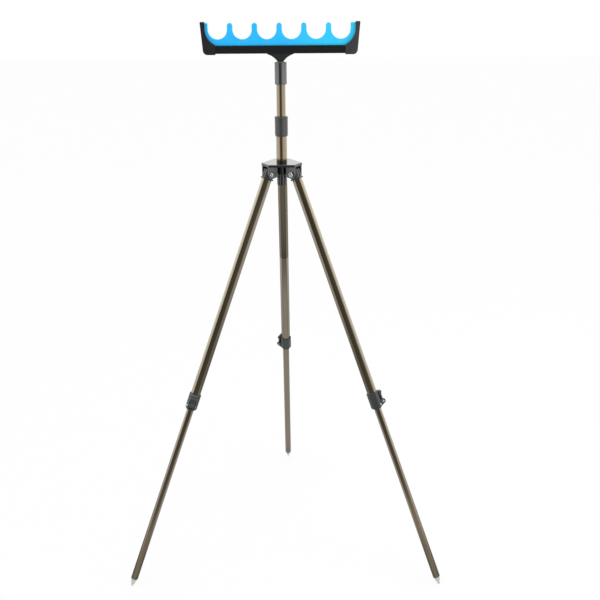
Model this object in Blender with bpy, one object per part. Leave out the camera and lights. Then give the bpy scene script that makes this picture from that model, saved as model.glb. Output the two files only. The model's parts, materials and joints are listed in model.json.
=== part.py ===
"""Rod tripod: three folding, telescopic legs, a short two-section mast and a rack of rod cradles.

Frame: metres, +Z up, the floor at z = 0, the origin under the middle of the footprint's box.
The mast stands on a line of its own, COLUMN_Y behind that origin. Each leg has its own frame,
with its origin on the leg's pivot, +X outward, +Y along the pivot and +Z up the leg.
"""

from math import atan2, cos, hypot, pi, radians, sin, sqrt

import bmesh
import bpy
from mathutils import Matrix, Vector

# Gaps between neighbours: pieces that stay together, and pieces that slide or turn.
FIT_GAP = 0.0003
RUN_GAP = 0.0004

# How far a cutting tool runs past the face it opens, and how deep a joined form is sunk.
OVERRUN = 0.010
SINK = 0.0005

# Where the legs stand and turn.
FOOT_RADIUS = 0.385
PIVOT_RADIUS = 0.031
PIVOT_HEIGHT = 0.8675
PIVOT_DROP = 0.0205
LEG_AZIMUTH = {"rear": radians(90), "left": radians(210), "right": radians(330)}

# Leg tubes, both hexagonal: half the width across flats, corner radius and wall.
UPPER_LEG_HALF = 0.0090
UPPER_LEG_CORNER = 0.0015
LOWER_LEG_HALF = 0.0066
LOWER_LEG_CORNER = 0.0013
LEG_WALL = 0.0010
CLAMP_DISTANCE = 0.5035

# Top fitting of a leg.
TONGUE_HALF_DEPTH = 0.0095
TONGUE_HALF_WIDTH = 0.0104
TONGUE_RADIUS = 0.01175
TONGUE_BEVEL = 0.0044
TONGUE_SLOT_WIDTH = 0.0022
TONGUE_SLOT_DEPTH = 0.0014
TONGUE_SLOT_RISE = 0.0010
HEEL_REACH = 0.0099
FLANGE_HALF = 0.0118
FLANGE_CORNER = 0.0016
FLANGE_DROP = 0.0097
FLANGE_THICKNESS = 0.0027
FLANGE_EDGE = 0.0005
PLUG_LENGTH = 0.024

# Hub casting.
PLATE_THICKNESS = 0.005
PLATE_REACH = 0.0392
PLATE_EDGE = 0.0008
PLATE_CORNER_EDGE = 0.0005
CORNER_HALF_WIDTH = 0.0151
LUG_THICKNESS = 0.0038
LUG_EYE_RADIUS = 0.0092
LUG_INNER_REACH = 0.019
LUG_OUTER_REACH = 0.0385
LUG_EYE_END = radians(-115)
LUG_WEB_DROP = 0.0062
LUG_RIB = 0.0006
LUG_RIB_INSETS = (0.0110, 0.0083)
BOSS_TOP_RADIUS = 0.01085
BOSS_FOOT_RADIUS = 0.0102
BOSS_LENGTH = 0.0474
BOSS_NECK = 0.0060
STIFFENER_THICKNESS = 0.0026
STIFFENER_DEPTH = 0.016
STOP_WALL_THICKNESS = 0.0024
STOP_WALL_DROP = 0.0030
MAST_SEAT_DEPTH = 0.003

# Pivot fasteners.
PIVOT_BOLT_RADIUS = 0.00295
PIVOT_HEAD_RADIUS = 0.0051
PIVOT_HEAD_HEIGHT = 0.0034
PIVOT_HEAD_RIM = 0.0004
PIVOT_KEY_WIDTH = 0.0040
PIVOT_KEY_DEPTH = 0.0022
NUT_HEX_HEIGHT = 0.0022
NUT_FLATS = 0.0096
NUT_DOME_RADIUS = 0.0046

# Leg clamp: hexagonal collar, brake pad, cam lever, hinge pin and adjusting screw.
LEVER_FACE = radians(60)
COLLAR_HALF = 0.0109
COLLAR_CORNER = 0.0018
COLLAR_HALF_LENGTH = 0.0185
COLLAR_CHAMFER = 0.0035
COLLAR_CHAMFER_IN = 0.0028
COLLAR_TOP_EDGE = 0.0007
SHOULDER_UP = 0.0007
LEVER_AXIS_OUT = 0.0149
LEVER_AXIS_UP = -0.0074
CAM_RADIUS = 0.0044
CAM_RELIEF = 0.0006
CAM_HALF_WIDTH = 0.0049
LEVER_HALF_WIDTH = 0.0075
LEVER_TIP_UP = 0.0251
LEVER_TIP_CORNER = 0.0035
LEVER_ARM_FOOT = 0.0077
LEVER_NECK_TOP = 0.0110
EAR_THICKNESS = 0.0028
EAR_RADIUS = 0.0058
EAR_ROOT = 0.0078
EAR_ARC = (radians(-50), radians(110))
EAR_RISE = 0.0010
EAR_GUSSET_INSET = 0.0004
EAR_GUSSET_FOOT = -0.0146
LEVER_PIN_RADIUS = 0.0016
LEVER_PIN_HEAD_RADIUS = 0.0028
LEVER_PIN_HEAD_HEIGHT = 0.0009
PAD_HALF_WIDTH = 0.0040
PAD_FOOT = -0.0135
PAD_TOP = -0.0010
COLLAR_SCREW_RADIUS = 0.0015
COLLAR_SCREW_HEAD_RADIUS = 0.0028
COLLAR_SCREW_HEAD_HEIGHT = 0.0017
COLLAR_SCREW_RIM = 0.0005
COLLAR_SCREW_SLOT_HALF = 0.0003
COLLAR_SCREW_SLOT_DEPTH = 0.0007
COLLAR_SCREW_UP = -0.0110

# Slide bush on the lower tube's head, and the spike at its foot.
BUSH_LENGTH = 0.040
BUSH_LIP = 0.0018
BUSH_MOUTH_HALF = 0.0042
SPIKE_LENGTH = 0.0185
SPIKE_RADIUS = 0.0064
SPIKE_TIP_RADIUS = 0.0016
SPIKE_SHOULDER = 0.0020
SPIKE_SHANK_LENGTH = 0.024

# Mast.
LOWER_MAST_RADIUS = 0.0110
UPPER_MAST_RADIUS = 0.0091
LOWER_MAST_WALL = 0.0008
UPPER_MAST_WALL = 0.0010
LOWER_MAST_EXPOSED = 0.0533
UPPER_MAST_EXPOSED = 0.0630
MAST_IN_COLLAR = 0.0200
LOCK_COLLAR_RADIUS = 0.0132
LOCK_COLLAR_LENGTH = 0.0400
LOCK_RIM_HEIGHT = 0.0042
LOCK_RIM_RADIUS = 0.0136
LOCK_STEP_HEIGHT = 0.0022
LOCK_STEP = 0.0006
LOCK_EDGE = 0.0006
COLLET_SKIRT_LENGTH = 0.0100
COLLET_HEAD_LENGTH = 0.0110
COLLET_CONE_LENGTH = 0.0055
COLLET_NOSE_WALL = 0.0007
COLLET_SLIT = 0.0010
COLLET_SLIT_RISE = 0.0020
MAST_STOP_LENGTH = 0.0060
MAST_STOP_PLUG_LENGTH = 0.014
MAST_PLUG_LENGTH = 0.0170
MAST_PLUG_ROOF = 0.0030
MAST_BOLT_RADIUS = 0.0030
MAST_BOLT_HEAD_RADIUS = 0.0050
MAST_BOLT_HEAD_HEIGHT = 0.0060
MAST_BOLT_KEY_WIDTH = 0.0050
MAST_BOLT_KEY_DEPTH = 0.0030

# Rack socket on the mast's head, its threaded insert and the rack's stud.
SOCKET_RADIUS = 0.0121
SOCKET_LENGTH = 0.0443
SOCKET_GRIP = 0.0240
SOCKET_EDGE = 0.0009
INSERT_RADIUS = 0.0075
INSERT_LENGTH = 0.0160
STUD_RADIUS = 0.00476
STUD_REACH = 0.0145
STUD_CHAMFER = 0.0010
STUD_SHANK_RADIUS = 0.0038
STUD_SHANK_LENGTH = 0.0105

# Rack: flared bracket, channel bar, comb and end caps.
BRACKET_HEIGHT = 0.0153
BRACKET_HALF_DEPTH = 0.0060
BRACKET_FOOT_HALF_WIDTH = 0.0058
BRACKET_ARC_RADIUS = 0.037
BRACKET_ARC_START = radians(15.5)
BRACKET_TIP = 0.0008
BRACKET_SCREW_FLOOR = 0.0024
BAR_HEIGHT = 0.0154
BAR_HALF_DEPTH = 0.0070
BAR_FLOOR = 0.0030
COMB_HALF_DEPTH = 0.0040
CRADLES = 6
CRADLE_PITCH = 0.0484
CRADLE_RADIUS = 0.0190
CRADLE_FLOOR = 0.0116
END_POST_WIDTH = 0.0110
POST_HEIGHT = 0.0428
COMB_OFFSET = -0.002
COMB_END_PLAY = 0.0006
COMB_EDGE = 0.0012
CAP_HALF_DEPTH = 0.0090
CAP_WALL = 0.0030
CAP_ROOF = 0.0020
CAP_UNDERHANG = 0.0021
CAP_END_WALL = 0.0050
CAP_LEAN = 0.0043
CAP_TOP_WIDTH = 0.0091
CAP_FOOT_WIDTH = 0.0241
CAP_CORNER_RADIUS = 0.0092
CAP_ARC_RADIUS = 0.034
CAP_ARC_RISE = 0.0015
CAP_EDGE = 0.0010
RACK_SCREW_RADIUS = 0.0014
RACK_SCREW_HEAD_RADIUS = 0.0027
RACK_SCREW_HEAD_HEIGHT = 0.0013
BRACKET_SCREW_REACH = 0.0170

# How finely round shapes are stepped.
ROUND_STEPS = 32
MIDDLE_STEPS = 20
SMALL_STEPS = 14
CORNER_STEPS = 2
CRADLE_STEPS = 16
FLANK_STEPS = 12
SHARP_ANGLE = radians(32)
MERGE_DISTANCE = 1e-7

# Values that follow from the sizes above.
COLUMN_Y = -FOOT_RADIUS / 4
LEG_TILT = atan2(FOOT_RADIUS - PIVOT_RADIUS, PIVOT_HEIGHT)
LEG_LENGTH = hypot(FOOT_RADIUS - PIVOT_RADIUS, PIVOT_HEIGHT)
PLATE_TOP = PIVOT_HEIGHT + PIVOT_DROP
PLATE_UNDERSIDE = PLATE_TOP - PLATE_THICKNESS
LUG_INNER_FACE = TONGUE_HALF_WIDTH + RUN_GAP
LUG_OUTER_FACE = LUG_INNER_FACE + LUG_THICKNESS
FLANGE_FOOT = -FLANGE_DROP - FLANGE_THICKNESS
UPPER_LEG_TOP = FLANGE_FOOT - FIT_GAP
PAD_INNER_FACE = LOWER_LEG_HALF + FIT_GAP
CAM_REACH = LEVER_AXIS_OUT - CAM_RADIUS
PAD_OUTER_FACE = CAM_REACH - FIT_GAP
EAR_INNER_FACE = CAM_HALF_WIDTH + FIT_GAP
EAR_OUTER_FACE = EAR_INNER_FACE + EAR_THICKNESS
UPPER_LEG_FOOT = SHOULDER_UP + FIT_GAP
LOWER_LEG_TOP = UPPER_LEG_FOOT + BUSH_LENGTH
LOWER_LEG_FOOT = -(LEG_LENGTH - CLAMP_DISTANCE) + SPIKE_LENGTH
BOSS_FOOT = PLATE_TOP - BOSS_LENGTH
MAST_SEAT = PLATE_TOP - MAST_SEAT_DEPTH
MAST_PLUG_BORE_TOP = MAST_SEAT + MAST_PLUG_LENGTH - MAST_PLUG_ROOF
LOCK_COLLAR_FOOT = PLATE_TOP + LOWER_MAST_EXPOSED
LOCK_COLLAR_TOP = LOCK_COLLAR_FOOT + LOCK_COLLAR_LENGTH
LOWER_MAST_TOP = LOCK_COLLAR_FOOT + MAST_IN_COLLAR
LOWER_MAST_BORE = LOWER_MAST_RADIUS - LOWER_MAST_WALL
UPPER_MAST_BORE = UPPER_MAST_RADIUS - UPPER_MAST_WALL
COLLET_FOOT = LOWER_MAST_TOP - COLLET_SKIRT_LENGTH
COLLET_SHOULDER = LOWER_MAST_TOP + FIT_GAP
COLLET_TOP = COLLET_SHOULDER + COLLET_HEAD_LENGTH
COLLET_NOSE_RADIUS = UPPER_MAST_RADIUS + FIT_GAP + COLLET_NOSE_WALL
MAST_STOP_TOP = COLLET_FOOT - FIT_GAP
SOCKET_FOOT = LOCK_COLLAR_TOP + UPPER_MAST_EXPOSED
SOCKET_TOP = SOCKET_FOOT + SOCKET_LENGTH
BRACKET_FOOT = SOCKET_TOP + RUN_GAP
BRACKET_TOP = BRACKET_FOOT + BRACKET_HEIGHT
BRACKET_SCREW_SEAT = BRACKET_TOP - BRACKET_SCREW_FLOOR
BAR_FOOT = BRACKET_TOP + FIT_GAP
BAR_TOP = BAR_FOOT + BAR_HEIGHT
COMB_TOP = BAR_TOP + POST_HEIGHT
CRADLE_CENTRE = BAR_TOP + CRADLE_FLOOR + CRADLE_RADIUS
CRADLE_EDGE = (CRADLES - 1) / 2 * CRADLE_PITCH + CRADLE_RADIUS
COMB_SLACK = CAP_WALL + abs(COMB_OFFSET) + COMB_END_PLAY
CAP_TOP_REACH = CRADLE_EDGE + END_POST_WIDTH + COMB_SLACK
CAP_FOOT_REACH = CAP_TOP_REACH - CAP_LEAN
CAP_FOOT_INNER = CAP_FOOT_REACH - CAP_FOOT_WIDTH
CAP_SCREW_REACH = (CAP_FOOT_INNER + CAP_FOOT_REACH - CAP_CORNER_RADIUS) / 2
BAR_HALF_LENGTH = CAP_FOOT_REACH - CAP_END_WALL - FIT_GAP
CAP_FOOT = BAR_FOOT - CAP_UNDERHANG
CAP_TOP = COMB_TOP + FIT_GAP + CAP_ROOF


def clear_scene():
    """Remove every object of the open scene."""
    for thing in list(bpy.data.objects):
        bpy.data.objects.remove(thing, do_unlink=True)


def material(name, colour, roughness, metallic=0.0):
    """A plain Principled material."""
    made = bpy.data.materials.new(name)
    made.use_nodes = True
    shader = made.node_tree.nodes["Principled BSDF"]
    shader.inputs["Base Color"].default_value = (*colour, 1.0)
    shader.inputs["Roughness"].default_value = roughness
    shader.inputs["Metallic"].default_value = metallic
    return made


def frame_empty(name, where, parent=None):
    """An empty that carries a moving or a standing group."""
    empty = bpy.data.objects.new(name, None)
    bpy.context.collection.objects.link(empty)
    empty.parent = parent
    empty.matrix_local = where
    return empty


def mesh_from(bm, name):
    """Turn a bmesh into a mesh with outward faces and smooth round sides."""
    bmesh.ops.remove_doubles(bm, verts=bm.verts, dist=MERGE_DISTANCE)
    bmesh.ops.dissolve_degenerate(bm, edges=bm.edges, dist=MERGE_DISTANCE / 10)
    bmesh.ops.recalc_face_normals(bm, faces=bm.faces)
    mesh = bpy.data.meshes.new(name)
    bm.to_mesh(mesh)
    bm.free()
    mesh.shade_smooth()
    mesh.set_sharp_from_angle(angle=SHARP_ANGLE)
    return mesh


def place(name, mesh, look, parent, shift=(0, 0, 0), turn=None):
    """Put a named object into its group's frame."""
    thing = bpy.data.objects.new(name, mesh)
    bpy.context.collection.objects.link(thing)
    if not mesh.materials:
        mesh.materials.append(look)
    thing.parent = parent
    thing.matrix_local = Matrix.Translation(shift) @ (turn or Matrix())
    return thing


def combined(mesh, tools, operation):
    """Join tools to a mesh, or cut them out of it, one after the other."""
    body = bpy.data.objects.new("body", mesh)
    bpy.context.collection.objects.link(body)
    for tool_mesh in tools:
        tool = bpy.data.objects.new("tool", tool_mesh)
        bpy.context.collection.objects.link(tool)
        step = body.modifiers.new("step", "BOOLEAN")
        step.operation = operation
        step.solver = "EXACT"
        step.object = tool
        bpy.context.view_layer.update()
        seen = body.evaluated_get(bpy.context.evaluated_depsgraph_get())
        result = bpy.data.meshes.new_from_object(seen)
        body.modifiers.clear()
        body.data = result
        bpy.data.objects.remove(tool)
    result.name = mesh.name
    bpy.data.objects.remove(body)
    result.shade_smooth()
    result.set_sharp_from_angle(angle=SHARP_ANGLE)
    return result


def joined(mesh, *tools):
    """The union of a mesh and its tools."""
    return combined(mesh, tools, "UNION")


def cut(mesh, *tools):
    """A mesh less its tools."""
    return combined(mesh, tools, "DIFFERENCE")


def turned(name, profile, steps=ROUND_STEPS):
    """A solid of revolution about Z from a closed or axis-to-axis profile of (radius, height)."""
    bm = bmesh.new()
    points = [bm.verts.new((radius, 0, height)) for radius, height in profile]
    on_axis = profile[0][0] == 0 and profile[-1][0] == 0
    pairs = list(zip(points, points[1:]))
    if not on_axis:
        pairs.append((points[-1], points[0]))
    edges = [bm.edges.new(pair) for pair in pairs]
    bmesh.ops.spin(
        bm, geom=points + edges, cent=(0, 0, 0), axis=(0, 0, 1), angle=2 * pi, steps=steps
    )
    return mesh_from(bm, name)


def prism(name, outline, low, high, plane="XY"):
    """An outline pushed from low to high, square to its plane."""
    bm = bmesh.new()
    lift = {
        "XY": lambda a, b, c: (a, b, c),
        "XZ": lambda a, b, c: (a, c, b),
        "YZ": lambda a, b, c: (c, a, b),
    }[plane]
    face = bm.faces.new([bm.verts.new(lift(a, b, low)) for a, b in outline])
    pushed = bmesh.ops.extrude_face_region(bm, geom=[face])["geom"]
    shifted = [v for v in pushed if isinstance(v, bmesh.types.BMVert)]
    bmesh.ops.translate(bm, verts=shifted, vec=Vector(lift(0, 0, high - low)))
    return mesh_from(bm, name)


def lofted(name, layers):
    """A solid through a stack of (outline, height) layers with equal point counts."""
    bm = bmesh.new()
    rings = [[bm.verts.new((x, y, height)) for x, y in outline] for outline, height in layers]
    for below, above in zip(rings, rings[1:]):
        for i in range(len(below)):
            bm.faces.new((below[i - 1], below[i], above[i], above[i - 1]))
    bm.faces.new(reversed(rings[0]))
    bm.faces.new(rings[-1])
    return mesh_from(bm, name)


def sleeve(name, outer, inner, low, high):
    """A straight pipe between an outer and an inner outline with equal point counts."""
    bm = bmesh.new()
    rims = [[bm.verts.new((x, y, low)) for x, y in outline] for outline in (outer, inner)]
    faces = [
        bm.faces.new((rims[0][i - 1], rims[0][i], rims[1][i], rims[1][i - 1]))
        for i in range(len(outer))
    ]
    pushed = bmesh.ops.extrude_face_region(bm, geom=faces)["geom"]
    shifted = [v for v in pushed if isinstance(v, bmesh.types.BMVert)]
    bmesh.ops.translate(bm, verts=shifted, vec=(0, 0, high - low))
    return mesh_from(bm, name)


def rod(name, radius, low, high, axis="Z", centre=(0, 0, 0), steps=SMALL_STEPS):
    """A cylinder along an axis between two places, about a centre."""
    mesh = turned(name, [(0, low), (radius, low), (radius, high), (0, high)], steps)
    swing = {
        "X": Matrix.Rotation(radians(90), 4, "Y"),
        "Y": Matrix.Rotation(radians(-90), 4, "X"),
        "Z": Matrix(),
    }[axis]
    mesh.transform(Matrix.Translation(centre) @ swing)
    return mesh


def block(name, low, high):
    """A box between two corners."""
    outline = [(low[0], low[1]), (high[0], low[1]), (high[0], high[1]), (low[0], high[1])]
    return prism(name, outline, low[2], high[2])


def moved(mesh, matrix):
    """The mesh itself after a move."""
    mesh.transform(matrix)
    return mesh


def arc(centre, radius, start, end, steps):
    """Points of an arc, both ends included."""
    return [
        (
            centre[0] + radius * cos(start + (end - start) * i / steps),
            centre[1] + radius * sin(start + (end - start) * i / steps),
        )
        for i in range(steps + 1)
    ]


def hex_section(half, corner):
    """A hexagon with round corners: one of its faces looks along +X."""
    middle = (half - corner) / cos(pi / 6)
    points = []
    for k in range(6):
        angle = pi / 6 + k * pi / 3
        centre = (middle * cos(angle), middle * sin(angle))
        points += arc(centre, corner, angle - pi / 6, angle + pi / 6, CORNER_STEPS)
    return points


def rounded(points, steps=4):
    """A smooth closed outline through its points."""
    count = len(points)
    outline = []
    for i in range(count):
        a, b, c, d = (Vector(points[(i + k) % count]) for k in (-1, 0, 1, 2))
        for step in range(steps):
            t = step / steps
            flow = 2 * b + (c - a) * t + (2 * a - 5 * b + 4 * c - d) * t**2 + (3 * b - a - 3 * c + d) * t**3
            outline.append((flow.x / 2, flow.y / 2))
    return outline


def dome(radius, height, foot, steps=3):
    """Profile of a shallow dome that ends on the axis."""
    ball = (radius**2 + height**2) / (2 * height)
    start = atan2(radius, ball - height)
    return [
        (ball * sin(start * (1 - i / steps)), foot + ball * cos(start * (1 - i / steps)) - (ball - height))
        for i in range(steps + 1)
    ]


def hexagon(across_flats):
    """A hexagon outline of a given width across its flats."""
    corner = across_flats / 2 / cos(pi / 6)
    return [(corner * cos(pi / 3 * i), corner * sin(pi / 3 * i)) for i in range(6)]


def plate_outline(reach, half_width):
    """The hub plate: a triangle with its three corners cut off square to the legs."""
    points = []
    for azimuth in sorted(LEG_AZIMUTH.values()):
        for side in (-1, 1):
            points.append(
                (
                    reach * cos(azimuth) - side * half_width * sin(azimuth),
                    reach * sin(azimuth) + side * half_width * cos(azimuth),
                )
            )
    return points


def lug_outline():
    """Side view of one pivot lug: outward distance and height."""
    eye = (PIVOT_RADIUS, PIVOT_HEIGHT)
    across = LUG_OUTER_REACH - PIVOT_RADIUS
    start = -atan2(sqrt(max(LUG_EYE_RADIUS**2 - across**2, 0)), across)
    root = PLATE_UNDERSIDE + PLATE_THICKNESS / 2
    under = arc(eye, LUG_EYE_RADIUS, start, LUG_EYE_END, 7)
    web_foot = PIVOT_HEIGHT - LUG_WEB_DROP
    return [(LUG_OUTER_REACH, root), *under, (LUG_INNER_REACH, web_foot), (LUG_INNER_REACH, root)]


def lug_pair():
    """The two lugs of one leg, with thin ribs on their outer faces, in the leg's radial frame."""
    outline = lug_outline()
    pieces = []
    for side in (-1, 1):
        low, high = sorted((side * LUG_INNER_FACE, side * LUG_OUTER_FACE))
        pieces.append(prism("lug", outline, low, high, "XZ"))
        for inset in LUG_RIB_INSETS:
            reach = PIVOT_RADIUS - inset
            inside = side * (LUG_OUTER_FACE - LUG_THICKNESS / 2)
            outside = side * (LUG_OUTER_FACE + LUG_RIB)
            pieces.append(
                block(
                    "rib",
                    (reach, min(inside, outside), PIVOT_HEIGHT - LUG_EYE_RADIUS / 2),
                    (reach + 2 * LUG_RIB, max(inside, outside), PLATE_UNDERSIDE + PLATE_THICKNESS / 3),
                )
            )
    return pieces


def hub_mesh():
    """Top plate, three pairs of lugs, stiffeners and the central boss, in one casting."""
    outline = plate_outline(PLATE_REACH, CORNER_HALF_WIDTH)
    inset = plate_outline(PLATE_REACH - PLATE_EDGE, CORNER_HALF_WIDTH - PLATE_CORNER_EDGE)
    body = lofted(
        "hub",
        [(outline, PLATE_UNDERSIDE), (outline, PLATE_TOP - PLATE_EDGE), (inset, PLATE_TOP)],
    )
    boss = turned(
        "boss",
        [
            (0, BOSS_FOOT),
            (BOSS_FOOT_RADIUS - PLATE_EDGE, BOSS_FOOT),
            (BOSS_FOOT_RADIUS, BOSS_FOOT + PLATE_EDGE),
            (BOSS_TOP_RADIUS, PLATE_UNDERSIDE - BOSS_NECK),
            (BOSS_TOP_RADIUS, PLATE_UNDERSIDE + PLATE_THICKNESS / 2),
            (0, PLATE_UNDERSIDE + PLATE_THICKNESS / 2),
        ],
    )
    additions = [boss]
    bores = []
    for azimuth in LEG_AZIMUTH.values():
        swing = Matrix.Rotation(azimuth, 4, "Z")
        additions += [moved(piece, swing) for piece in lug_pair()]
        buried = PLATE_UNDERSIDE + PLATE_THICKNESS / 3
        wall_face = PIVOT_RADIUS - HEEL_REACH - FIT_GAP
        wall = block(
            "stop_wall",
            (wall_face - STOP_WALL_THICKNESS, -LUG_INNER_FACE - LUG_RIB, PIVOT_HEIGHT - STOP_WALL_DROP),
            (wall_face, LUG_INNER_FACE + LUG_RIB, buried),
        )
        stiffener = block(
            "stiffener",
            (BOSS_TOP_RADIUS / 2, -STIFFENER_THICKNESS / 2, PLATE_UNDERSIDE - STIFFENER_DEPTH),
            (wall_face - STOP_WALL_THICKNESS / 2, STIFFENER_THICKNESS / 2, buried),
        )
        additions += [moved(wall, swing), moved(stiffener, swing)]
        bore = rod(
            "bore",
            PIVOT_BOLT_RADIUS + RUN_GAP,
            -LUG_OUTER_FACE - SINK - LUG_RIB,
            LUG_OUTER_FACE + SINK + LUG_RIB,
            "Y",
            (PIVOT_RADIUS, 0, PIVOT_HEIGHT),
        )
        bores.append(moved(bore, swing))
    seat = rod("seat", LOWER_MAST_RADIUS + FIT_GAP, MAST_SEAT, PLATE_TOP + OVERRUN, steps=ROUND_STEPS)
    bolt_way = rod("way", MAST_BOLT_RADIUS + FIT_GAP, BOSS_FOOT - OVERRUN, PLATE_TOP + OVERRUN)
    bolt_head_room = rod(
        "room",
        MAST_BOLT_HEAD_RADIUS + FIT_GAP,
        BOSS_FOOT - OVERRUN,
        BOSS_FOOT + MAST_BOLT_HEAD_HEIGHT + 2 * FIT_GAP,
    )
    return cut(joined(body, *additions), *bores, seat, bolt_way, bolt_head_room)


def pivot_bolt_mesh():
    """Domed bolt along the pivot, through both lugs."""
    under_head = LUG_OUTER_FACE + LUG_RIB + FIT_GAP
    tail = -(under_head + NUT_HEX_HEIGHT)
    edge = PIVOT_HEAD_RIM
    profile = [(0, tail), (PIVOT_BOLT_RADIUS - edge, tail), (PIVOT_BOLT_RADIUS, tail + edge)]
    profile += [(PIVOT_BOLT_RADIUS, under_head), (PIVOT_HEAD_RADIUS, under_head)]
    profile += dome(PIVOT_HEAD_RADIUS, PIVOT_HEAD_HEIGHT, under_head + edge)
    top = under_head + edge + PIVOT_HEAD_HEIGHT
    key = prism("key", hexagon(PIVOT_KEY_WIDTH), top - PIVOT_KEY_DEPTH, top + OVERRUN)
    bolt = cut(turned("pivot_bolt", profile, MIDDLE_STEPS), key)
    return moved(bolt, Matrix.Rotation(radians(-90), 4, "X"))


def pivot_nut_mesh():
    """Cap nut on the far end of a pivot bolt: a hexagon base under a dome."""
    base = LUG_OUTER_FACE + LUG_RIB + FIT_GAP
    hexagon_part = prism("nut", hexagon(NUT_FLATS), base, base + NUT_HEX_HEIGHT)
    dome_foot = base + NUT_HEX_HEIGHT - SINK
    cap_profile = [(0, dome_foot)] + dome(NUT_DOME_RADIUS, PIVOT_HEAD_HEIGHT, dome_foot)
    nut = joined(hexagon_part, turned("cap", cap_profile, MIDDLE_STEPS))
    hole_depth = NUT_HEX_HEIGHT + 2 * FIT_GAP
    nut = cut(nut, rod("hole", PIVOT_BOLT_RADIUS + FIT_GAP, base - OVERRUN, base + hole_depth))
    return moved(nut, Matrix.Rotation(radians(90), 4, "X"))


def leg_fitting_mesh():
    """Tongue between the lugs, flange on the tube's end and plug inside the tube."""
    outer = TONGUE_HALF_DEPTH
    foot = -FLANGE_DROP - FLANGE_THICKNESS / 2
    crown_start = atan2(sqrt(TONGUE_RADIUS**2 - outer**2), outer)
    heel_half = atan2(sqrt(TONGUE_RADIUS**2 - HEEL_REACH**2), HEEL_REACH)
    crown_end = pi - LEG_TILT - heel_half
    heel_foot = (HEEL_REACH - outer * cos(LEG_TILT)) / sin(LEG_TILT)
    side_view = [(outer, foot), *arc((0, 0), TONGUE_RADIUS, crown_start, crown_end, 9)]
    side_view += [(-outer, heel_foot), (-outer, foot)]
    body = prism("leg_fitting", side_view, -TONGUE_HALF_WIDTH, TONGUE_HALF_WIDTH, "XZ")
    across, bevel = TONGUE_HALF_WIDTH + SINK, TONGUE_BEVEL + SINK
    top_view = [(outer, bevel - across), (outer, across - bevel), (outer - bevel, across)]
    top_view += [(bevel - outer, across), (-outer, across - bevel), (-outer, bevel - across)]
    top_view += [(bevel - outer, -across), (outer - bevel, -across)]
    section = prism("section", top_view, foot - OVERRUN, TONGUE_RADIUS + OVERRUN)
    body = combined(body, [section], "INTERSECT")
    slot = block(
        "slot",
        (outer - TONGUE_SLOT_DEPTH, -TONGUE_SLOT_WIDTH / 2, -FLANGE_DROP + TONGUE_SLOT_RISE),
        (outer + OVERRUN, TONGUE_SLOT_WIDTH / 2, TONGUE_RADIUS),
    )
    wide = hex_section(FLANGE_HALF, FLANGE_CORNER)
    narrow = hex_section(FLANGE_HALF - FLANGE_EDGE, FLANGE_CORNER)
    flange = lofted(
        "flange",
        [
            (narrow, FLANGE_FOOT),
            (wide, FLANGE_FOOT + FLANGE_EDGE),
            (wide, -FLANGE_DROP - FLANGE_EDGE),
            (narrow, -FLANGE_DROP),
        ],
    )
    inner = LEG_WALL + FIT_GAP
    plug = prism(
        "plug",
        hex_section(UPPER_LEG_HALF - inner, UPPER_LEG_CORNER - LEG_WALL),
        FLANGE_FOOT - PLUG_LENGTH,
        FLANGE_FOOT + FLANGE_THICKNESS / 2,
    )
    bore = rod("bore", PIVOT_BOLT_RADIUS + RUN_GAP, -across, across, "Y")
    return cut(joined(body, flange, plug), bore, slot)


def leg_tube_mesh(name, half, corner, low, high):
    """A straight hexagonal leg tube."""
    outer = hex_section(half, corner)
    inner = hex_section(half - LEG_WALL, corner - LEG_WALL)
    return sleeve(name, outer, inner, low, high)


def ear_outline():
    """Side view of a hinge ear: a round eye that runs down into the collar's foot."""
    axis = (LEVER_AXIS_OUT, LEVER_AXIS_UP)
    outline = [(EAR_ROOT, EAR_GUSSET_FOOT), (COLLAR_HALF - EAR_GUSSET_INSET, EAR_GUSSET_FOOT)]
    outline += arc(axis, EAR_RADIUS, *EAR_ARC, 9)
    outline.append((EAR_ROOT, LEVER_AXIS_UP + EAR_RADIUS + EAR_RISE))
    return outline


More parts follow.
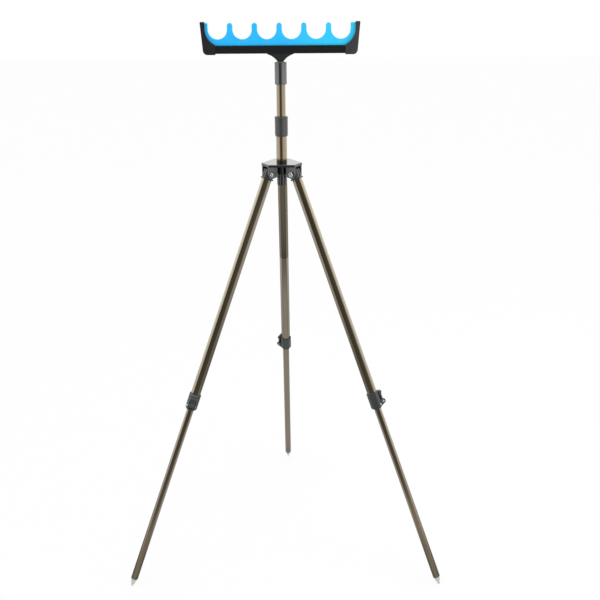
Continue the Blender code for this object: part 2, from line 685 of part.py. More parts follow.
def collar_mesh():
    """Clamp collar with two hinge ears on its lever side, +X, about its own middle."""
    half, corner = COLLAR_HALF, COLLAR_CORNER
    top, foot = COLLAR_HALF_LENGTH, -COLLAR_HALF_LENGTH
    body = lofted(
        "collar",
        [
            (hex_section(half - COLLAR_CHAMFER_IN, corner), foot),
            (hex_section(half, corner), foot + COLLAR_CHAMFER),
            (hex_section(half, corner), top - COLLAR_TOP_EDGE),
            (hex_section(half - COLLAR_TOP_EDGE, corner), top),
        ],
    )
    ears = []
    for side in (-1, 1):
        low, high = sorted((side * EAR_INNER_FACE, side * EAR_OUTER_FACE))
        ears.append(prism("ear", ear_outline(), low, high, "XZ"))
    upper_way = prism(
        "upper_way",
        hex_section(UPPER_LEG_HALF + FIT_GAP, UPPER_LEG_CORNER + FIT_GAP),
        SHOULDER_UP,
        top + OVERRUN,
    )
    lower_way = prism(
        "lower_way",
        hex_section(LOWER_LEG_HALF + FIT_GAP, LOWER_LEG_CORNER + FIT_GAP),
        foot - OVERRUN,
        SHOULDER_UP + SINK,
    )
    window = block(
        "window",
        (LOWER_LEG_HALF / 2, -PAD_HALF_WIDTH - FIT_GAP, PAD_FOOT - FIT_GAP),
        (half + OVERRUN, PAD_HALF_WIDTH + FIT_GAP, PAD_TOP + FIT_GAP),
    )
    axis = (LEVER_AXIS_OUT, 0, LEVER_AXIS_UP)
    side = EAR_OUTER_FACE + SINK
    pin_way = rod("pin_way", LEVER_PIN_RADIUS + FIT_GAP, -side, side, "Y", axis)
    side = EAR_INNER_FACE
    cam_room = rod("cam_room", CAM_RADIUS + RUN_GAP, -side, side, "Y", axis, ROUND_STEPS)
    screw_radius = COLLAR_SCREW_RADIUS + FIT_GAP
    screw_up = (0, 0, COLLAR_SCREW_UP)
    screw_way = rod("screw_way", screw_radius, LOWER_LEG_HALF / 2, half + OVERRUN, "X", screw_up)
    screw_way = moved(screw_way, Matrix.Rotation(-LEVER_FACE, 4, "Z"))
    return cut(joined(body, *ears), upper_way, lower_way, window, cam_room, pin_way, screw_way)


def brake_pad_mesh():
    """Block between the lever's cam and the lower tube."""
    return block(
        "brake_pad",
        (PAD_INNER_FACE, -PAD_HALF_WIDTH, PAD_FOOT),
        (PAD_OUTER_FACE, PAD_HALF_WIDTH, PAD_TOP),
    )


def lever_cam_outline():
    """Side view of the lever's cam and neck, about its hinge."""
    relief = CAM_RADIUS - CAM_RELIEF
    outline = arc((0, 0), CAM_RADIUS, radians(104), radians(232), 12)
    outline += arc((0, 0), relief, radians(262), radians(308), 3)
    outline += arc((0, 0), CAM_RADIUS, radians(330), radians(395), 6)
    neck = [(0.0022, 0.0058), (0.0016, 0.0078), (0.0010, LEVER_NECK_TOP), (-0.0017, LEVER_NECK_TOP)]
    return outline + neck


def lever_arm_outline():
    """Side view of the lever's arm: thin and hollow-backed, then a thick finger end."""
    outer = [(0.0015, 0), (0.0010, 0.22), (0.0014, 0.45), (0.0028, 0.64), (0.0034, 0.76)]
    tip = [(0.0028, 0.90), (0.0010, 1), (-0.0015, 0.99), (-0.0027, 0.90)]
    inner = [(-0.0030, 0.74), (-0.0027, 0.53), (-0.0021, 0.33), (-0.0018, 0.16), (-0.0018, 0)]
    rise = LEVER_TIP_UP - LEVER_ARM_FOOT
    return rounded([(out, LEVER_ARM_FOOT + share * rise) for out, share in outer + tip + inner], 3)


def lever_mesh():
    """Cam lever about its hinge: the cam sits between the ears, the arm stands up the collar."""
    cam = prism("clamp_lever", lever_cam_outline(), -CAM_HALF_WIDTH, CAM_HALF_WIDTH, "XZ")
    half, corner = LEVER_HALF_WIDTH, LEVER_TIP_CORNER
    arm = prism("arm", lever_arm_outline(), -half, half, "XZ")
    foot = LEVER_ARM_FOOT - LEVER_TIP_CORNER
    front = [(-half, foot), (half, foot)]
    front += arc((half - corner, LEVER_TIP_UP - corner), corner, 0, pi / 2, 5)
    front += arc((corner - half, LEVER_TIP_UP - corner), corner, pi / 2, pi, 5)
    front_block = prism("front", front, -half - OVERRUN, half + OVERRUN, "YZ")
    arm = combined(arm, [front_block], "INTERSECT")
    pin_hole = rod("pin_hole", LEVER_PIN_RADIUS + RUN_GAP, -half - OVERRUN, half + OVERRUN, "Y")
    return cut(joined(cam, arm), pin_hole)


def lever_pin_mesh():
    """Hinge pin through both ears, riveted to a flat head at each end."""
    outside = EAR_OUTER_FACE + FIT_GAP
    end = outside + LEVER_PIN_HEAD_HEIGHT
    edge = LEVER_PIN_HEAD_HEIGHT / 3
    head = LEVER_PIN_HEAD_RADIUS
    profile = [
        (0, -end),
        (head - edge, -end),
        (head, edge - end),
        (head, -outside),
        (LEVER_PIN_RADIUS, -outside),
        (LEVER_PIN_RADIUS, outside),
        (head, outside),
        (head, end - edge),
        (head - edge, end),
        (0, end),
    ]
    return moved(turned("lever_pin", profile, SMALL_STEPS), Matrix.Rotation(radians(-90), 4, "X"))


def collar_screw_mesh():
    """Pan-head screw in the collar's wall that takes up the lower tube's play."""
    tip = LOWER_LEG_HALF + FIT_GAP
    under_head = COLLAR_HALF + FIT_GAP
    profile = [(0, tip), (COLLAR_SCREW_RADIUS, tip), (COLLAR_SCREW_RADIUS, under_head)]
    profile += [(COLLAR_SCREW_HEAD_RADIUS, under_head)]
    height = COLLAR_SCREW_HEAD_HEIGHT - COLLAR_SCREW_RIM
    profile += dome(COLLAR_SCREW_HEAD_RADIUS, height, under_head + COLLAR_SCREW_RIM)
    screw = turned("collar_screw", profile, SMALL_STEPS)
    top = under_head + COLLAR_SCREW_HEAD_HEIGHT
    half = COLLAR_SCREW_SLOT_HALF
    slot = block("slot", (-half, -OVERRUN, top - COLLAR_SCREW_SLOT_DEPTH), (half, OVERRUN, top + OVERRUN))
    return moved(cut(screw, slot), Matrix.Rotation(radians(90), 4, "Y"))


def slide_bush_mesh():
    """Sleeve on the lower tube's head: it guides the tube and stops on the collar's shoulder."""
    outer = hex_section(UPPER_LEG_HALF - LEG_WALL - FIT_GAP, UPPER_LEG_CORNER - LEG_WALL)
    inner = hex_section(LOWER_LEG_HALF + FIT_GAP, LOWER_LEG_CORNER + FIT_GAP)
    lip_foot = LOWER_LEG_TOP + FIT_GAP
    body = prism("slide_bush", outer, UPPER_LEG_FOOT, lip_foot + BUSH_LIP)
    way = prism("way", inner, UPPER_LEG_FOOT - OVERRUN, lip_foot)
    mouth_outline = hex_section(BUSH_MOUTH_HALF, LOWER_LEG_CORNER)
    mouth = prism("mouth", mouth_outline, lip_foot - SINK, lip_foot + OVERRUN)
    return cut(body, way, mouth)


def spike_mesh():
    """Ground spike: a shank in the tube, a shoulder on its end and a cone with a round tip."""
    shoulder = LOWER_LEG_FOOT - FIT_GAP
    tip_centre = -(LEG_LENGTH - CLAMP_DISTANCE) + SPIKE_TIP_RADIUS / cos(LEG_TILT)
    run = shoulder - SPIKE_SHOULDER - tip_centre
    cone_angle = atan2(SPIKE_RADIUS - SPIKE_TIP_RADIUS, run)
    shank = LOWER_LEG_HALF - LEG_WALL - FIT_GAP
    tip = arc((0, tip_centre), SPIKE_TIP_RADIUS, -pi / 2, -cone_angle, 4)
    profile = [(0, tip[0][1])] + tip[1:]
    profile += [
        (SPIKE_RADIUS, shoulder - SPIKE_SHOULDER),
        (SPIKE_RADIUS, shoulder),
        (shank, shoulder),
        (shank, shoulder + SPIKE_SHANK_LENGTH),
        (0, shoulder + SPIKE_SHANK_LENGTH),
    ]
    return turned("spike", profile, MIDDLE_STEPS)


def mast_plug_mesh():
    """Threaded plug in the foot of the lower mast tube."""
    radius = LOWER_MAST_BORE - FIT_GAP
    plug = rod("mast_plug", radius, MAST_SEAT + FIT_GAP, MAST_SEAT + MAST_PLUG_LENGTH, steps=ROUND_STEPS)
    way = rod("way", MAST_BOLT_RADIUS + FIT_GAP, MAST_SEAT - OVERRUN, MAST_PLUG_BORE_TOP)
    return cut(plug, way)


def mast_bolt_mesh():
    """Socket-head bolt up through the boss into the mast's plug."""
    under = BOSS_FOOT + MAST_BOLT_HEAD_HEIGHT + FIT_GAP
    foot = under - MAST_BOLT_HEAD_HEIGHT
    top = MAST_PLUG_BORE_TOP - FIT_GAP
    profile = [
        (0, foot),
        (MAST_BOLT_HEAD_RADIUS, foot),
        (MAST_BOLT_HEAD_RADIUS, under),
        (MAST_BOLT_RADIUS, under),
        (MAST_BOLT_RADIUS, top),
        (0, top),
    ]
    bolt = turned("mast_bolt", profile, SMALL_STEPS)
    key = prism("key", hexagon(MAST_BOLT_KEY_WIDTH), foot - OVERRUN, foot + MAST_BOLT_KEY_DEPTH)
    return cut(bolt, key)


def pipe_mesh(name, outer, inner, low, high):
    """A plain round tube."""
    return turned(name, [(inner, low), (outer, low), (outer, high), (inner, high)])


def collet_mesh():
    """Split collet: a skirt in the lower tube under a conical head, round the upper tube."""
    bore = UPPER_MAST_RADIUS + FIT_GAP
    skirt = LOWER_MAST_BORE - FIT_GAP
    profile = [
        (bore, COLLET_FOOT),
        (skirt, COLLET_FOOT),
        (skirt, COLLET_SHOULDER),
        (LOWER_MAST_RADIUS, COLLET_SHOULDER),
        (LOWER_MAST_RADIUS, COLLET_TOP - COLLET_CONE_LENGTH),
        (COLLET_NOSE_RADIUS, COLLET_TOP),
        (bore, COLLET_TOP),
    ]
    slits = []
    for azimuth in (0, pi / 2):
        slit = block(
            "slit",
            (-LOWER_MAST_RADIUS * 2, -COLLET_SLIT / 2, COLLET_SHOULDER + COLLET_SLIT_RISE),
            (LOWER_MAST_RADIUS * 2, COLLET_SLIT / 2, COLLET_TOP + OVERRUN),
        )
        slits.append(moved(slit, Matrix.Rotation(azimuth, 4, "Z")))
    return cut(turned("mast_collet", profile), *slits)


def lock_collar_mesh():
    """Twist collar: it turns on the lower tube's thread and its cone closes the collet."""
    bore = LOWER_MAST_RADIUS + RUN_GAP
    neck = UPPER_MAST_RADIUS + RUN_GAP
    roof = COLLET_TOP + RUN_GAP
    foot, top = LOCK_COLLAR_FOOT, LOCK_COLLAR_TOP
    step = LOCK_COLLAR_RADIUS - LOCK_STEP
    rim_foot = top - LOCK_RIM_HEIGHT
    edge = LOCK_EDGE
    profile = [
        (bore, foot),
        (step, foot),
        (step, foot + LOCK_STEP_HEIGHT),
        (LOCK_COLLAR_RADIUS, foot + LOCK_STEP_HEIGHT + LOCK_STEP),
        (LOCK_COLLAR_RADIUS, rim_foot - edge),
        (LOCK_RIM_RADIUS, rim_foot),
        (LOCK_RIM_RADIUS, top - edge),
        (LOCK_RIM_RADIUS - edge, top),
        (neck, top),
        (neck, roof),
        (COLLET_NOSE_RADIUS + RUN_GAP, roof),
        (bore, roof - COLLET_CONE_LENGTH),
    ]
    return turned("lock_collar", profile)


def mast_stop_mesh():
    """Stop plug in the upper mast tube's foot, wider than the collet's bore."""
    head = (UPPER_MAST_RADIUS + LOWER_MAST_BORE) / 2 + FIT_GAP
    plug = UPPER_MAST_BORE - FIT_GAP
    profile = [
        (0, MAST_STOP_TOP - MAST_STOP_LENGTH),
        (head, MAST_STOP_TOP - MAST_STOP_LENGTH),
        (head, MAST_STOP_TOP),
        (plug, MAST_STOP_TOP),
        (plug, MAST_STOP_TOP + MAST_STOP_PLUG_LENGTH),
        (0, MAST_STOP_TOP + MAST_STOP_PLUG_LENGTH),
    ]
    return turned("mast_stop", profile)


def socket_mesh():
    """Rack socket: a blind bore over the mast below, a blind bore for the insert above."""
    edge = SOCKET_EDGE
    insert_floor = SOCKET_TOP - INSERT_LENGTH - FIT_GAP
    grip_top = SOCKET_FOOT + SOCKET_GRIP
    grip = UPPER_MAST_RADIUS + FIT_GAP
    mouth = INSERT_RADIUS + FIT_GAP
    profile = [
        (0, grip_top),
        (grip, grip_top),
        (grip, SOCKET_FOOT),
        (SOCKET_RADIUS - edge, SOCKET_FOOT),
        (SOCKET_RADIUS, SOCKET_FOOT + edge),
        (SOCKET_RADIUS, SOCKET_TOP - edge),
        (SOCKET_RADIUS - edge, SOCKET_TOP),
        (mouth, SOCKET_TOP),
        (mouth, insert_floor),
        (0, insert_floor),
    ]
    return turned("rack_socket", profile)


def insert_mesh():
    """Threaded bush in the socket's mouth."""
    low, high = SOCKET_TOP - INSERT_LENGTH, SOCKET_TOP - FIT_GAP
    return pipe_mesh("socket_insert", INSERT_RADIUS, STUD_RADIUS + RUN_GAP, low, high)


def stud_mesh():
    """Threaded stud under the bracket, with its plain shank held in the bracket."""
    low = BRACKET_FOOT - STUD_REACH
    high = BRACKET_FOOT + STUD_SHANK_LENGTH
    profile = [
        (0, low),
        (STUD_RADIUS - STUD_CHAMFER, low),
        (STUD_RADIUS, low + STUD_CHAMFER),
        (STUD_RADIUS, BRACKET_FOOT - FIT_GAP),
        (STUD_SHANK_RADIUS, BRACKET_FOOT - FIT_GAP),
        (STUD_SHANK_RADIUS, high),
        (0, high),
    ]
    return turned("rack_stud", profile, MIDDLE_STEPS)


def bracket_arc(side):
    """One concave flank of the bracket, from its tip in to its foot."""
    radius, start = BRACKET_ARC_RADIUS, BRACKET_ARC_START
    drop = BRACKET_HEIGHT - BRACKET_TIP
    end = atan2(sqrt(max(1 - (cos(start) - drop / radius) ** 2, 0)), cos(start) - drop / radius)
    run = radius * (sin(end) - sin(start))
    tip = BRACKET_FOOT_HALF_WIDTH + run
    points = []
    for i in range(FLANK_STEPS + 1):
        angle = start + (end - start) * i / FLANK_STEPS
        out = tip - radius * (sin(angle) - sin(start))
        down = radius * (cos(start) - cos(angle))
        points.append((side * out, BRACKET_TOP - BRACKET_TIP - down))
    return points


def bracket_mesh():
    """Flared bracket between the stud and the channel bar."""
    right = bracket_arc(1)
    left = bracket_arc(-1)
    outline = [(right[0][0], BRACKET_TOP), *right, *reversed(left), (left[0][0], BRACKET_TOP)]
    body = prism("rack_bracket", outline, -BRACKET_HALF_DEPTH, BRACKET_HALF_DEPTH, "XZ")
    cuts = [
        rod(
            "stud_way",
            STUD_SHANK_RADIUS + FIT_GAP,
            BRACKET_FOOT - OVERRUN,
            BRACKET_FOOT + STUD_SHANK_LENGTH + FIT_GAP,
            steps=ROUND_STEPS,
        )
    ]
    for side in (-1, 1):
        middle = (side * BRACKET_SCREW_REACH, 0, 0)
        radius = RACK_SCREW_HEAD_RADIUS + FIT_GAP
        cuts.append(rod("head_way", radius, BRACKET_FOOT, BRACKET_SCREW_SEAT, centre=middle))
        radius = RACK_SCREW_RADIUS + FIT_GAP
        cuts.append(rod("screw_way", radius, BRACKET_FOOT, BRACKET_TOP + OVERRUN, centre=middle))
    return cut(body, *cuts)


def bar_mesh():
    """Channel bar: a groove along its top holds the comb's root."""
    groove = COMB_HALF_DEPTH + FIT_GAP
    floor = BAR_FOOT + BAR_FLOOR
    side = BAR_HALF_DEPTH
    outline = [
        (-side, BAR_FOOT),
        (side, BAR_FOOT),
        (side, BAR_TOP),
        (groove, BAR_TOP),
        (groove, floor),
        (-groove, floor),
        (-groove, BAR_TOP),
        (-side, BAR_TOP),
    ]
    body = prism("rack_bar", outline, -BAR_HALF_LENGTH, BAR_HALF_LENGTH, "YZ")
    radius = RACK_SCREW_RADIUS + FIT_GAP
    ways = [
        rod("way", radius, BAR_FOOT - OVERRUN, floor + SINK, centre=(reach, 0, 0))
        for reach in screw_reaches()
    ]
    return cut(body, *ways)


def screw_reaches():
    """Places along the bar of its four screws."""
    return (-CAP_SCREW_REACH, -BRACKET_SCREW_REACH, BRACKET_SCREW_REACH, CAP_SCREW_REACH)


def cap_side(height):
    """Outward reach of the end cap's slanted outer side at a height."""
    foot = CAP_FOOT + CAP_CORNER_RADIUS
    share = (height - foot) / (CAP_TOP - foot)
    return CAP_FOOT_REACH + (CAP_TOP_REACH - CAP_FOOT_REACH) * share


def comb_mesh():
    """Comb of rod cradles: a root in the bar, round cradles and round-topped posts."""
    post_half = CRADLE_PITCH / 2 - CRADLE_RADIUS
    round_centre = COMB_TOP - post_half
    root = BAR_FOOT + BAR_FLOOR + FIT_GAP
    top_reach = cap_side(COMB_TOP) - COMB_SLACK
    foot_reach = cap_side(BAR_TOP) - COMB_SLACK
    root_reach = BAR_HALF_LENGTH - abs(COMB_OFFSET) - COMB_END_PLAY
    step_up = BAR_TOP + 2 * FIT_GAP
    first = -(CRADLES - 1) / 2 * CRADLE_PITCH
    edge = COMB_EDGE
    outline = [(-foot_reach, step_up), (-top_reach, COMB_TOP - edge), (-top_reach + edge, COMB_TOP)]
    for i in range(CRADLES):
        middle = first + i * CRADLE_PITCH
        if i:
            outline += arc((middle - CRADLE_PITCH / 2, round_centre), post_half, pi, 0, 6)
        else:
            corner = (middle - CRADLE_RADIUS - edge, COMB_TOP - edge)
            outline += arc(corner, edge, pi / 2, 0, 2)
        outline += arc((middle, CRADLE_CENTRE), CRADLE_RADIUS, pi, 2 * pi, CRADLE_STEPS)
    corner = (-first + CRADLE_RADIUS + edge, COMB_TOP - edge)
    outline += arc(corner, edge, pi, pi / 2, 2)
    outline += [(top_reach - edge, COMB_TOP), (top_reach, COMB_TOP - edge), (foot_reach, step_up)]
    outline += [(root_reach, step_up), (root_reach, root), (-root_reach, root), (-root_reach, step_up)]
    mesh = prism("rod_comb", outline, -COMB_HALF_DEPTH, COMB_HALF_DEPTH, "XZ")
    return moved(mesh, Matrix.Translation((COMB_OFFSET, 0, 0)))


def end_cap_mesh(side):
    """End cap: an outer wall and two cheeks over the ends of the bar and the comb."""
    inner_foot = CAP_FOOT_INNER
    inner_top = CAP_TOP_REACH - CAP_TOP_WIDTH
    arc_centre = (inner_top - CAP_ARC_RADIUS, CRADLE_CENTRE + CAP_ARC_RISE)
    run = inner_foot - arc_centre[0]
    arc_end = atan2(-sqrt(CAP_ARC_RADIUS**2 - run**2), run)
    corner = CAP_CORNER_RADIUS
    outline = [(inner_foot, CAP_FOOT)]
    outline += arc((CAP_FOOT_REACH - corner, CAP_FOOT + corner), corner, -pi / 2, 0, 7)
    outline += [(CAP_TOP_REACH, CAP_TOP - CAP_EDGE), (CAP_TOP_REACH - CAP_EDGE, CAP_TOP)]
    outline += [(inner_top + CAP_EDGE, CAP_TOP), (inner_top, CAP_TOP - CAP_EDGE)]
    outline += arc(arc_centre, CAP_ARC_RADIUS, 0, arc_end, FLANK_STEPS)
    body = prism("end_cap", outline, -CAP_HALF_DEPTH, CAP_HALF_DEPTH, "XZ")
    slot_foot = BAR_TOP - SINK
    slot_top = COMB_TOP + FIT_GAP
    open_side = inner_foot - OVERRUN
    slot = prism(
        "slot",
        [
            (open_side, slot_foot),
            (cap_side(slot_foot) - CAP_WALL, slot_foot),
            (cap_side(slot_top) - CAP_WALL, slot_top),
            (open_side, slot_top),
        ],
        -COMB_HALF_DEPTH - FIT_GAP,
        COMB_HALF_DEPTH + FIT_GAP,
        "XZ",
    )
    pocket_side = BAR_HALF_DEPTH + FIT_GAP
    pocket = block(
        "pocket",
        (open_side, -pocket_side, BAR_FOOT - FIT_GAP),
        (BAR_HALF_LENGTH + FIT_GAP, pocket_side, BAR_TOP + FIT_GAP),
    )
    place_of_screw = (CAP_SCREW_REACH, 0, 0)
    head = RACK_SCREW_HEAD_RADIUS + FIT_GAP
    head_top = CAP_FOOT + RACK_SCREW_HEAD_HEIGHT
    head_way = rod("head_way", head, CAP_FOOT - OVERRUN, head_top, centre=place_of_screw)
    shank = RACK_SCREW_RADIUS + FIT_GAP
    screw_way = rod("screw_way", shank, CAP_FOOT - OVERRUN, BAR_FOOT, centre=place_of_screw)
    mesh = cut(body, slot, pocket, head_way, screw_way)
    if side < 0:
        mesh.transform(Matrix.Rotation(pi, 4, "Z"))
    return mesh


def rack_screw_mesh(reach, head_top):
    """Flat-head screw that points up into the bar's floor."""
    foot = head_top - RACK_SCREW_HEAD_HEIGHT + FIT_GAP
    under = head_top - FIT_GAP
    tip = BAR_FOOT + BAR_FLOOR - FIT_GAP
    profile = [
        (0, foot),
        (RACK_SCREW_HEAD_RADIUS, foot),
        (RACK_SCREW_HEAD_RADIUS, under),
        (RACK_SCREW_RADIUS, under),
        (RACK_SCREW_RADIUS, tip),
        (0, tip),
    ]
    mesh = turned("screw", profile, SMALL_STEPS)
    mesh.transform(Matrix.Translation((reach, 0, 0)))
    return mesh


def make_looks():
    """The materials, by the names that the pieces use."""
    return {
        "bronze": material("anodised_bronze", (0.155, 0.125, 0.085), 0.30, 1.0),
        "black": material("glossy_black", (0.012, 0.013, 0.016), 0.18),
        "graphite": material("graphite_plastic", (0.040, 0.045, 0.050), 0.42),
        "bar": material("black_extrusion", (0.012, 0.015, 0.018), 0.35),
        "blue": material("blue_comb", (0.060, 0.480, 0.930), 0.50),
        "steel": material("polished_steel", (0.72, 0.72, 0.72), 0.16, 1.0),
        "spike": material("zinc_spike", (0.55, 0.54, 0.50), 0.38, 1.0),
        "bush": material("bush_plastic", (0.30, 0.30, 0.29), 0.50),
        "rubber": material("pad_rubber", (0.020, 0.020, 0.020), 0.80),
        "brass": material("brass_insert", (0.62, 0.46, 0.20), 0.30, 1.0),
    }


def build_hub(looks, column):
    """The hub casting and the pivot fasteners."""
    place("hub", hub_mesh(), looks["black"], column)
    bolt, nut = pivot_bolt_mesh(), pivot_nut_mesh()
    for leg, azimuth in LEG_AZIMUTH.items():
        pivot = Matrix.Rotation(azimuth, 4, "Z") @ Matrix.Translation((PIVOT_RADIUS, 0, PIVOT_HEIGHT))
        place(f"pivot_bolt_{leg}", bolt, looks["steel"], column, turn=pivot)
        place(f"pivot_nut_{leg}", nut, looks["steel"], column, turn=pivot)


def build_legs(looks, column):
    """Three legs that share their meshes, each under an empty on its pivot."""
    fitting, collar, pad, lever = leg_fitting_mesh(), collar_mesh(), brake_pad_mesh(), lever_mesh()
    pin, screw, bush, spike = lever_pin_mesh(), collar_screw_mesh(), slide_bush_mesh(), spike_mesh()
    upper_foot = UPPER_LEG_FOOT - CLAMP_DISTANCE
    upper = leg_tube_mesh("upper_leg_tube", UPPER_LEG_HALF, UPPER_LEG_CORNER, upper_foot, UPPER_LEG_TOP)
    lower_foot, lower_top = LOWER_LEG_FOOT, LOWER_LEG_TOP
    lower = leg_tube_mesh("lower_leg_tube", LOWER_LEG_HALF, LOWER_LEG_CORNER, lower_foot, lower_top)
    facing = Matrix.Rotation(LEVER_FACE, 4, "Z")
    screw_turn = Matrix.Rotation(-LEVER_FACE, 4, "Z")
    for leg, azimuth in LEG_AZIMUTH.items():
        pivot = (
            Matrix.Rotation(azimuth, 4, "Z")
            @ Matrix.Translation((PIVOT_RADIUS, 0, PIVOT_HEIGHT))
            @ Matrix.Rotation(-LEG_TILT, 4, "Y")
        )
        swing = frame_empty(f"leg_pivot_{leg}", pivot, column)
        place(f"leg_fitting_{leg}", fitting, looks["graphite"], swing)
        place(f"upper_leg_tube_{leg}", upper, looks["bronze"], swing)
        clamp = frame_empty(f"clamp_{leg}", Matrix.Translation((0, 0, -CLAMP_DISTANCE)) @ facing, swing)
        place(f"clamp_collar_{leg}", collar, looks["graphite"], clamp)
        place(f"brake_pad_{leg}", pad, looks["rubber"], clamp)
        place(f"collar_screw_{leg}", screw, looks["steel"], clamp, (0, 0, COLLAR_SCREW_UP), screw_turn)
        hinge = (LEVER_AXIS_OUT, 0, LEVER_AXIS_UP)
        place(f"lever_pin_{leg}", pin, looks["steel"], clamp, hinge)
        place(f"clamp_lever_{leg}", lever, looks["graphite"], clamp, hinge)
        slide = frame_empty(f"leg_slide_{leg}", Matrix.Translation((0, 0, -CLAMP_DISTANCE)), swing)
        place(f"lower_leg_tube_{leg}", lower, looks["bronze"], slide)
        place(f"slide_bush_{leg}", bush, looks["bush"], slide)
        place(f"ground_spike_{leg}", spike, looks["spike"], slide)


def build_mast(looks, column):
    """The two mast tubes, the lock between them and the rack's socket."""
    place("mast_plug", mast_plug_mesh(), looks["bush"], column)
    place("mast_bolt", mast_bolt_mesh(), looks["steel"], column)
    lower = pipe_mesh(
        "lower_mast_tube", LOWER_MAST_RADIUS, LOWER_MAST_BORE, MAST_SEAT + FIT_GAP, LOWER_MAST_TOP
    )
    place("lower_mast_tube", lower, looks["bronze"], column)
    place("mast_collet", collet_mesh(), looks["bush"], column)
    place("mast_lock_collar", lock_collar_mesh(), looks["graphite"], column)
    slide = frame_empty("mast_slide", Matrix(), column)
    upper_top = SOCKET_FOOT + SOCKET_GRIP - FIT_GAP
    upper_foot = MAST_STOP_TOP + FIT_GAP
    upper = pipe_mesh("upper_mast_tube", UPPER_MAST_RADIUS, UPPER_MAST_BORE, upper_foot, upper_top)
    place("upper_mast_tube", upper, looks["bronze"], slide)
    place("mast_stop", mast_stop_mesh(), looks["bush"], slide)
    place("rack_socket", socket_mesh(), looks["black"], slide)
    place("socket_insert", insert_mesh(), looks["brass"], slide)
    return slide


def build_rack(looks, mast):
    """The rack, which turns on its stud."""
    turn = frame_empty("rack_turn", Matrix(), mast)
    place("rack_stud", stud_mesh(), looks["steel"], turn)
    place("rack_bracket", bracket_mesh(), looks["graphite"], turn)
    place("rack_bar", bar_mesh(), looks["bar"], turn)
    place("rod_comb", comb_mesh(), looks["blue"], turn)
    place("end_cap_right", end_cap_mesh(1), looks["graphite"], turn)
    place("end_cap_left", end_cap_mesh(-1), looks["graphite"], turn)
    cap_seat = CAP_FOOT + RACK_SCREW_HEAD_HEIGHT
    for side, word in ((-1, "left"), (1, "right")):
        bracket_screw = rack_screw_mesh(side * BRACKET_SCREW_REACH, BRACKET_SCREW_SEAT)
        place(f"bracket_screw_{word}", bracket_screw, looks["steel"], turn)
        cap_screw = rack_screw_mesh(side * CAP_SCREW_REACH, cap_seat)
        place(f"cap_screw_{word}", cap_screw, looks["steel"], turn)


def main():
    """Build the whole tripod."""
    clear_scene()
    looks = make_looks()
    column = frame_empty("column", Matrix.Translation((0, COLUMN_Y, 0)))
    build_hub(looks, column)
    build_legs(looks, column)
    build_rack(looks, build_mast(looks, column))
    bpy.context.view_layer.update()


main()
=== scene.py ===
# %% [markdown]
# # A rod tripod
# This script dresses a imported CAD model. The model already has every part in its place, so
# the work here is what the eye sees: fine edges, smooth rounds, and finishes with their own
# grain. The first step loads the model.

# %% Load the imported model
import json
from math import cos, degrees, pi, radians, sin, tan

import bmesh
import bpy
from mathutils import Matrix, Vector


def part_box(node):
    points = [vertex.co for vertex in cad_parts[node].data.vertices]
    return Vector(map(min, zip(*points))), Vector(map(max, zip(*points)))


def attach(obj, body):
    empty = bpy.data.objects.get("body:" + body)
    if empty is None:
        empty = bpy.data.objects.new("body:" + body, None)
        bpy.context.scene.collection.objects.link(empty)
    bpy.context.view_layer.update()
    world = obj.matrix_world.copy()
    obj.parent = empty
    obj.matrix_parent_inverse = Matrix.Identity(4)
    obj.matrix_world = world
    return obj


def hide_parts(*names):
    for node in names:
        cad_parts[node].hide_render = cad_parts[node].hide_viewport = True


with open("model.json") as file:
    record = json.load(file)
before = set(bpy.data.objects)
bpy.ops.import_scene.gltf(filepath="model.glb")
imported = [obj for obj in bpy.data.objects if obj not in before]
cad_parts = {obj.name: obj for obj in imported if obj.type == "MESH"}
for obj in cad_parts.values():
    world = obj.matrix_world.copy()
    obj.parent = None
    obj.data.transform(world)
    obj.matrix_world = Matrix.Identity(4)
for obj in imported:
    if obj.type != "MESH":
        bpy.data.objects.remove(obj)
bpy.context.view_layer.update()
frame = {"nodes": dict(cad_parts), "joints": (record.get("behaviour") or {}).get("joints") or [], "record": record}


# %% [markdown]
# The record says which body each node moves with and which finish it has. Joints give the
# places and directions of the legs, so nothing has to be measured twice.

# %% Read bodies, finishes and joints
BODY = {}
for body, members in frame["record"]["behaviour"]["bodies"].items():
    BODY.update({member: body for member in members})
SLOT = {part["node"]: part["material_slot"] for part in frame["record"]["subparts"]}
JOINT = {joint["name"]: joint for joint in frame["joints"]}
LEGS = ("rear", "left", "right")
MAST_Y = JOINT["rack_turn"]["pos_m"][1]
print("bodies:", sorted(set(BODY.values())))

# %% [markdown]
# ## Camera
# A photograph has one true viewpoint. This one stands two metres in front of the tripod, a
# little higher than its rack, and looks down by nearly 20 degrees. A camera could be aimed
# with a constraint. Three axes worked out from its direction need no target, and they take the
# small roll that keeps the mast as upright as it is in the picture.

# %% Place the camera
CAMERA_PLACE = Vector((0.0376, -2.0292, 1.2705))
YAW, PITCH, ROLL = radians(-0.066), radians(19.457), radians(-0.386)
LENS_MM = 57.07


def make_camera():
    """The photograph's camera, built from its direction, its right and its up."""
    ahead = Vector((sin(YAW) * cos(PITCH), cos(YAW) * cos(PITCH), -sin(PITCH)))
    right = ahead.cross(Vector((0, 0, 1))).normalized()
    up = right.cross(ahead)
    rolled_right = right * cos(ROLL) + up * sin(ROLL)
    rolled_up = up * cos(ROLL) - right * sin(ROLL)
    data = bpy.data.cameras.new("photograph")
    data.lens = LENS_MM
    camera = bpy.data.objects.new("photograph", data)
    bpy.context.scene.collection.objects.link(camera)
    axes = Matrix((rolled_right, rolled_up, -ahead)).transposed().to_4x4()
    camera.matrix_world = Matrix.Translation(CAMERA_PLACE) @ axes
    bpy.context.scene.camera = camera


make_camera()
print("camera at", [round(v, 3) for v in CAMERA_PLACE], "lens", LENS_MM)

# %% [markdown]
# ## Node helpers
# Every finish is a small tree of shader nodes, and the same few moves come back in all of
# them. An input takes either a link or a plain value, so one helper does both. With it, a node
# and all its inputs fit in one call.

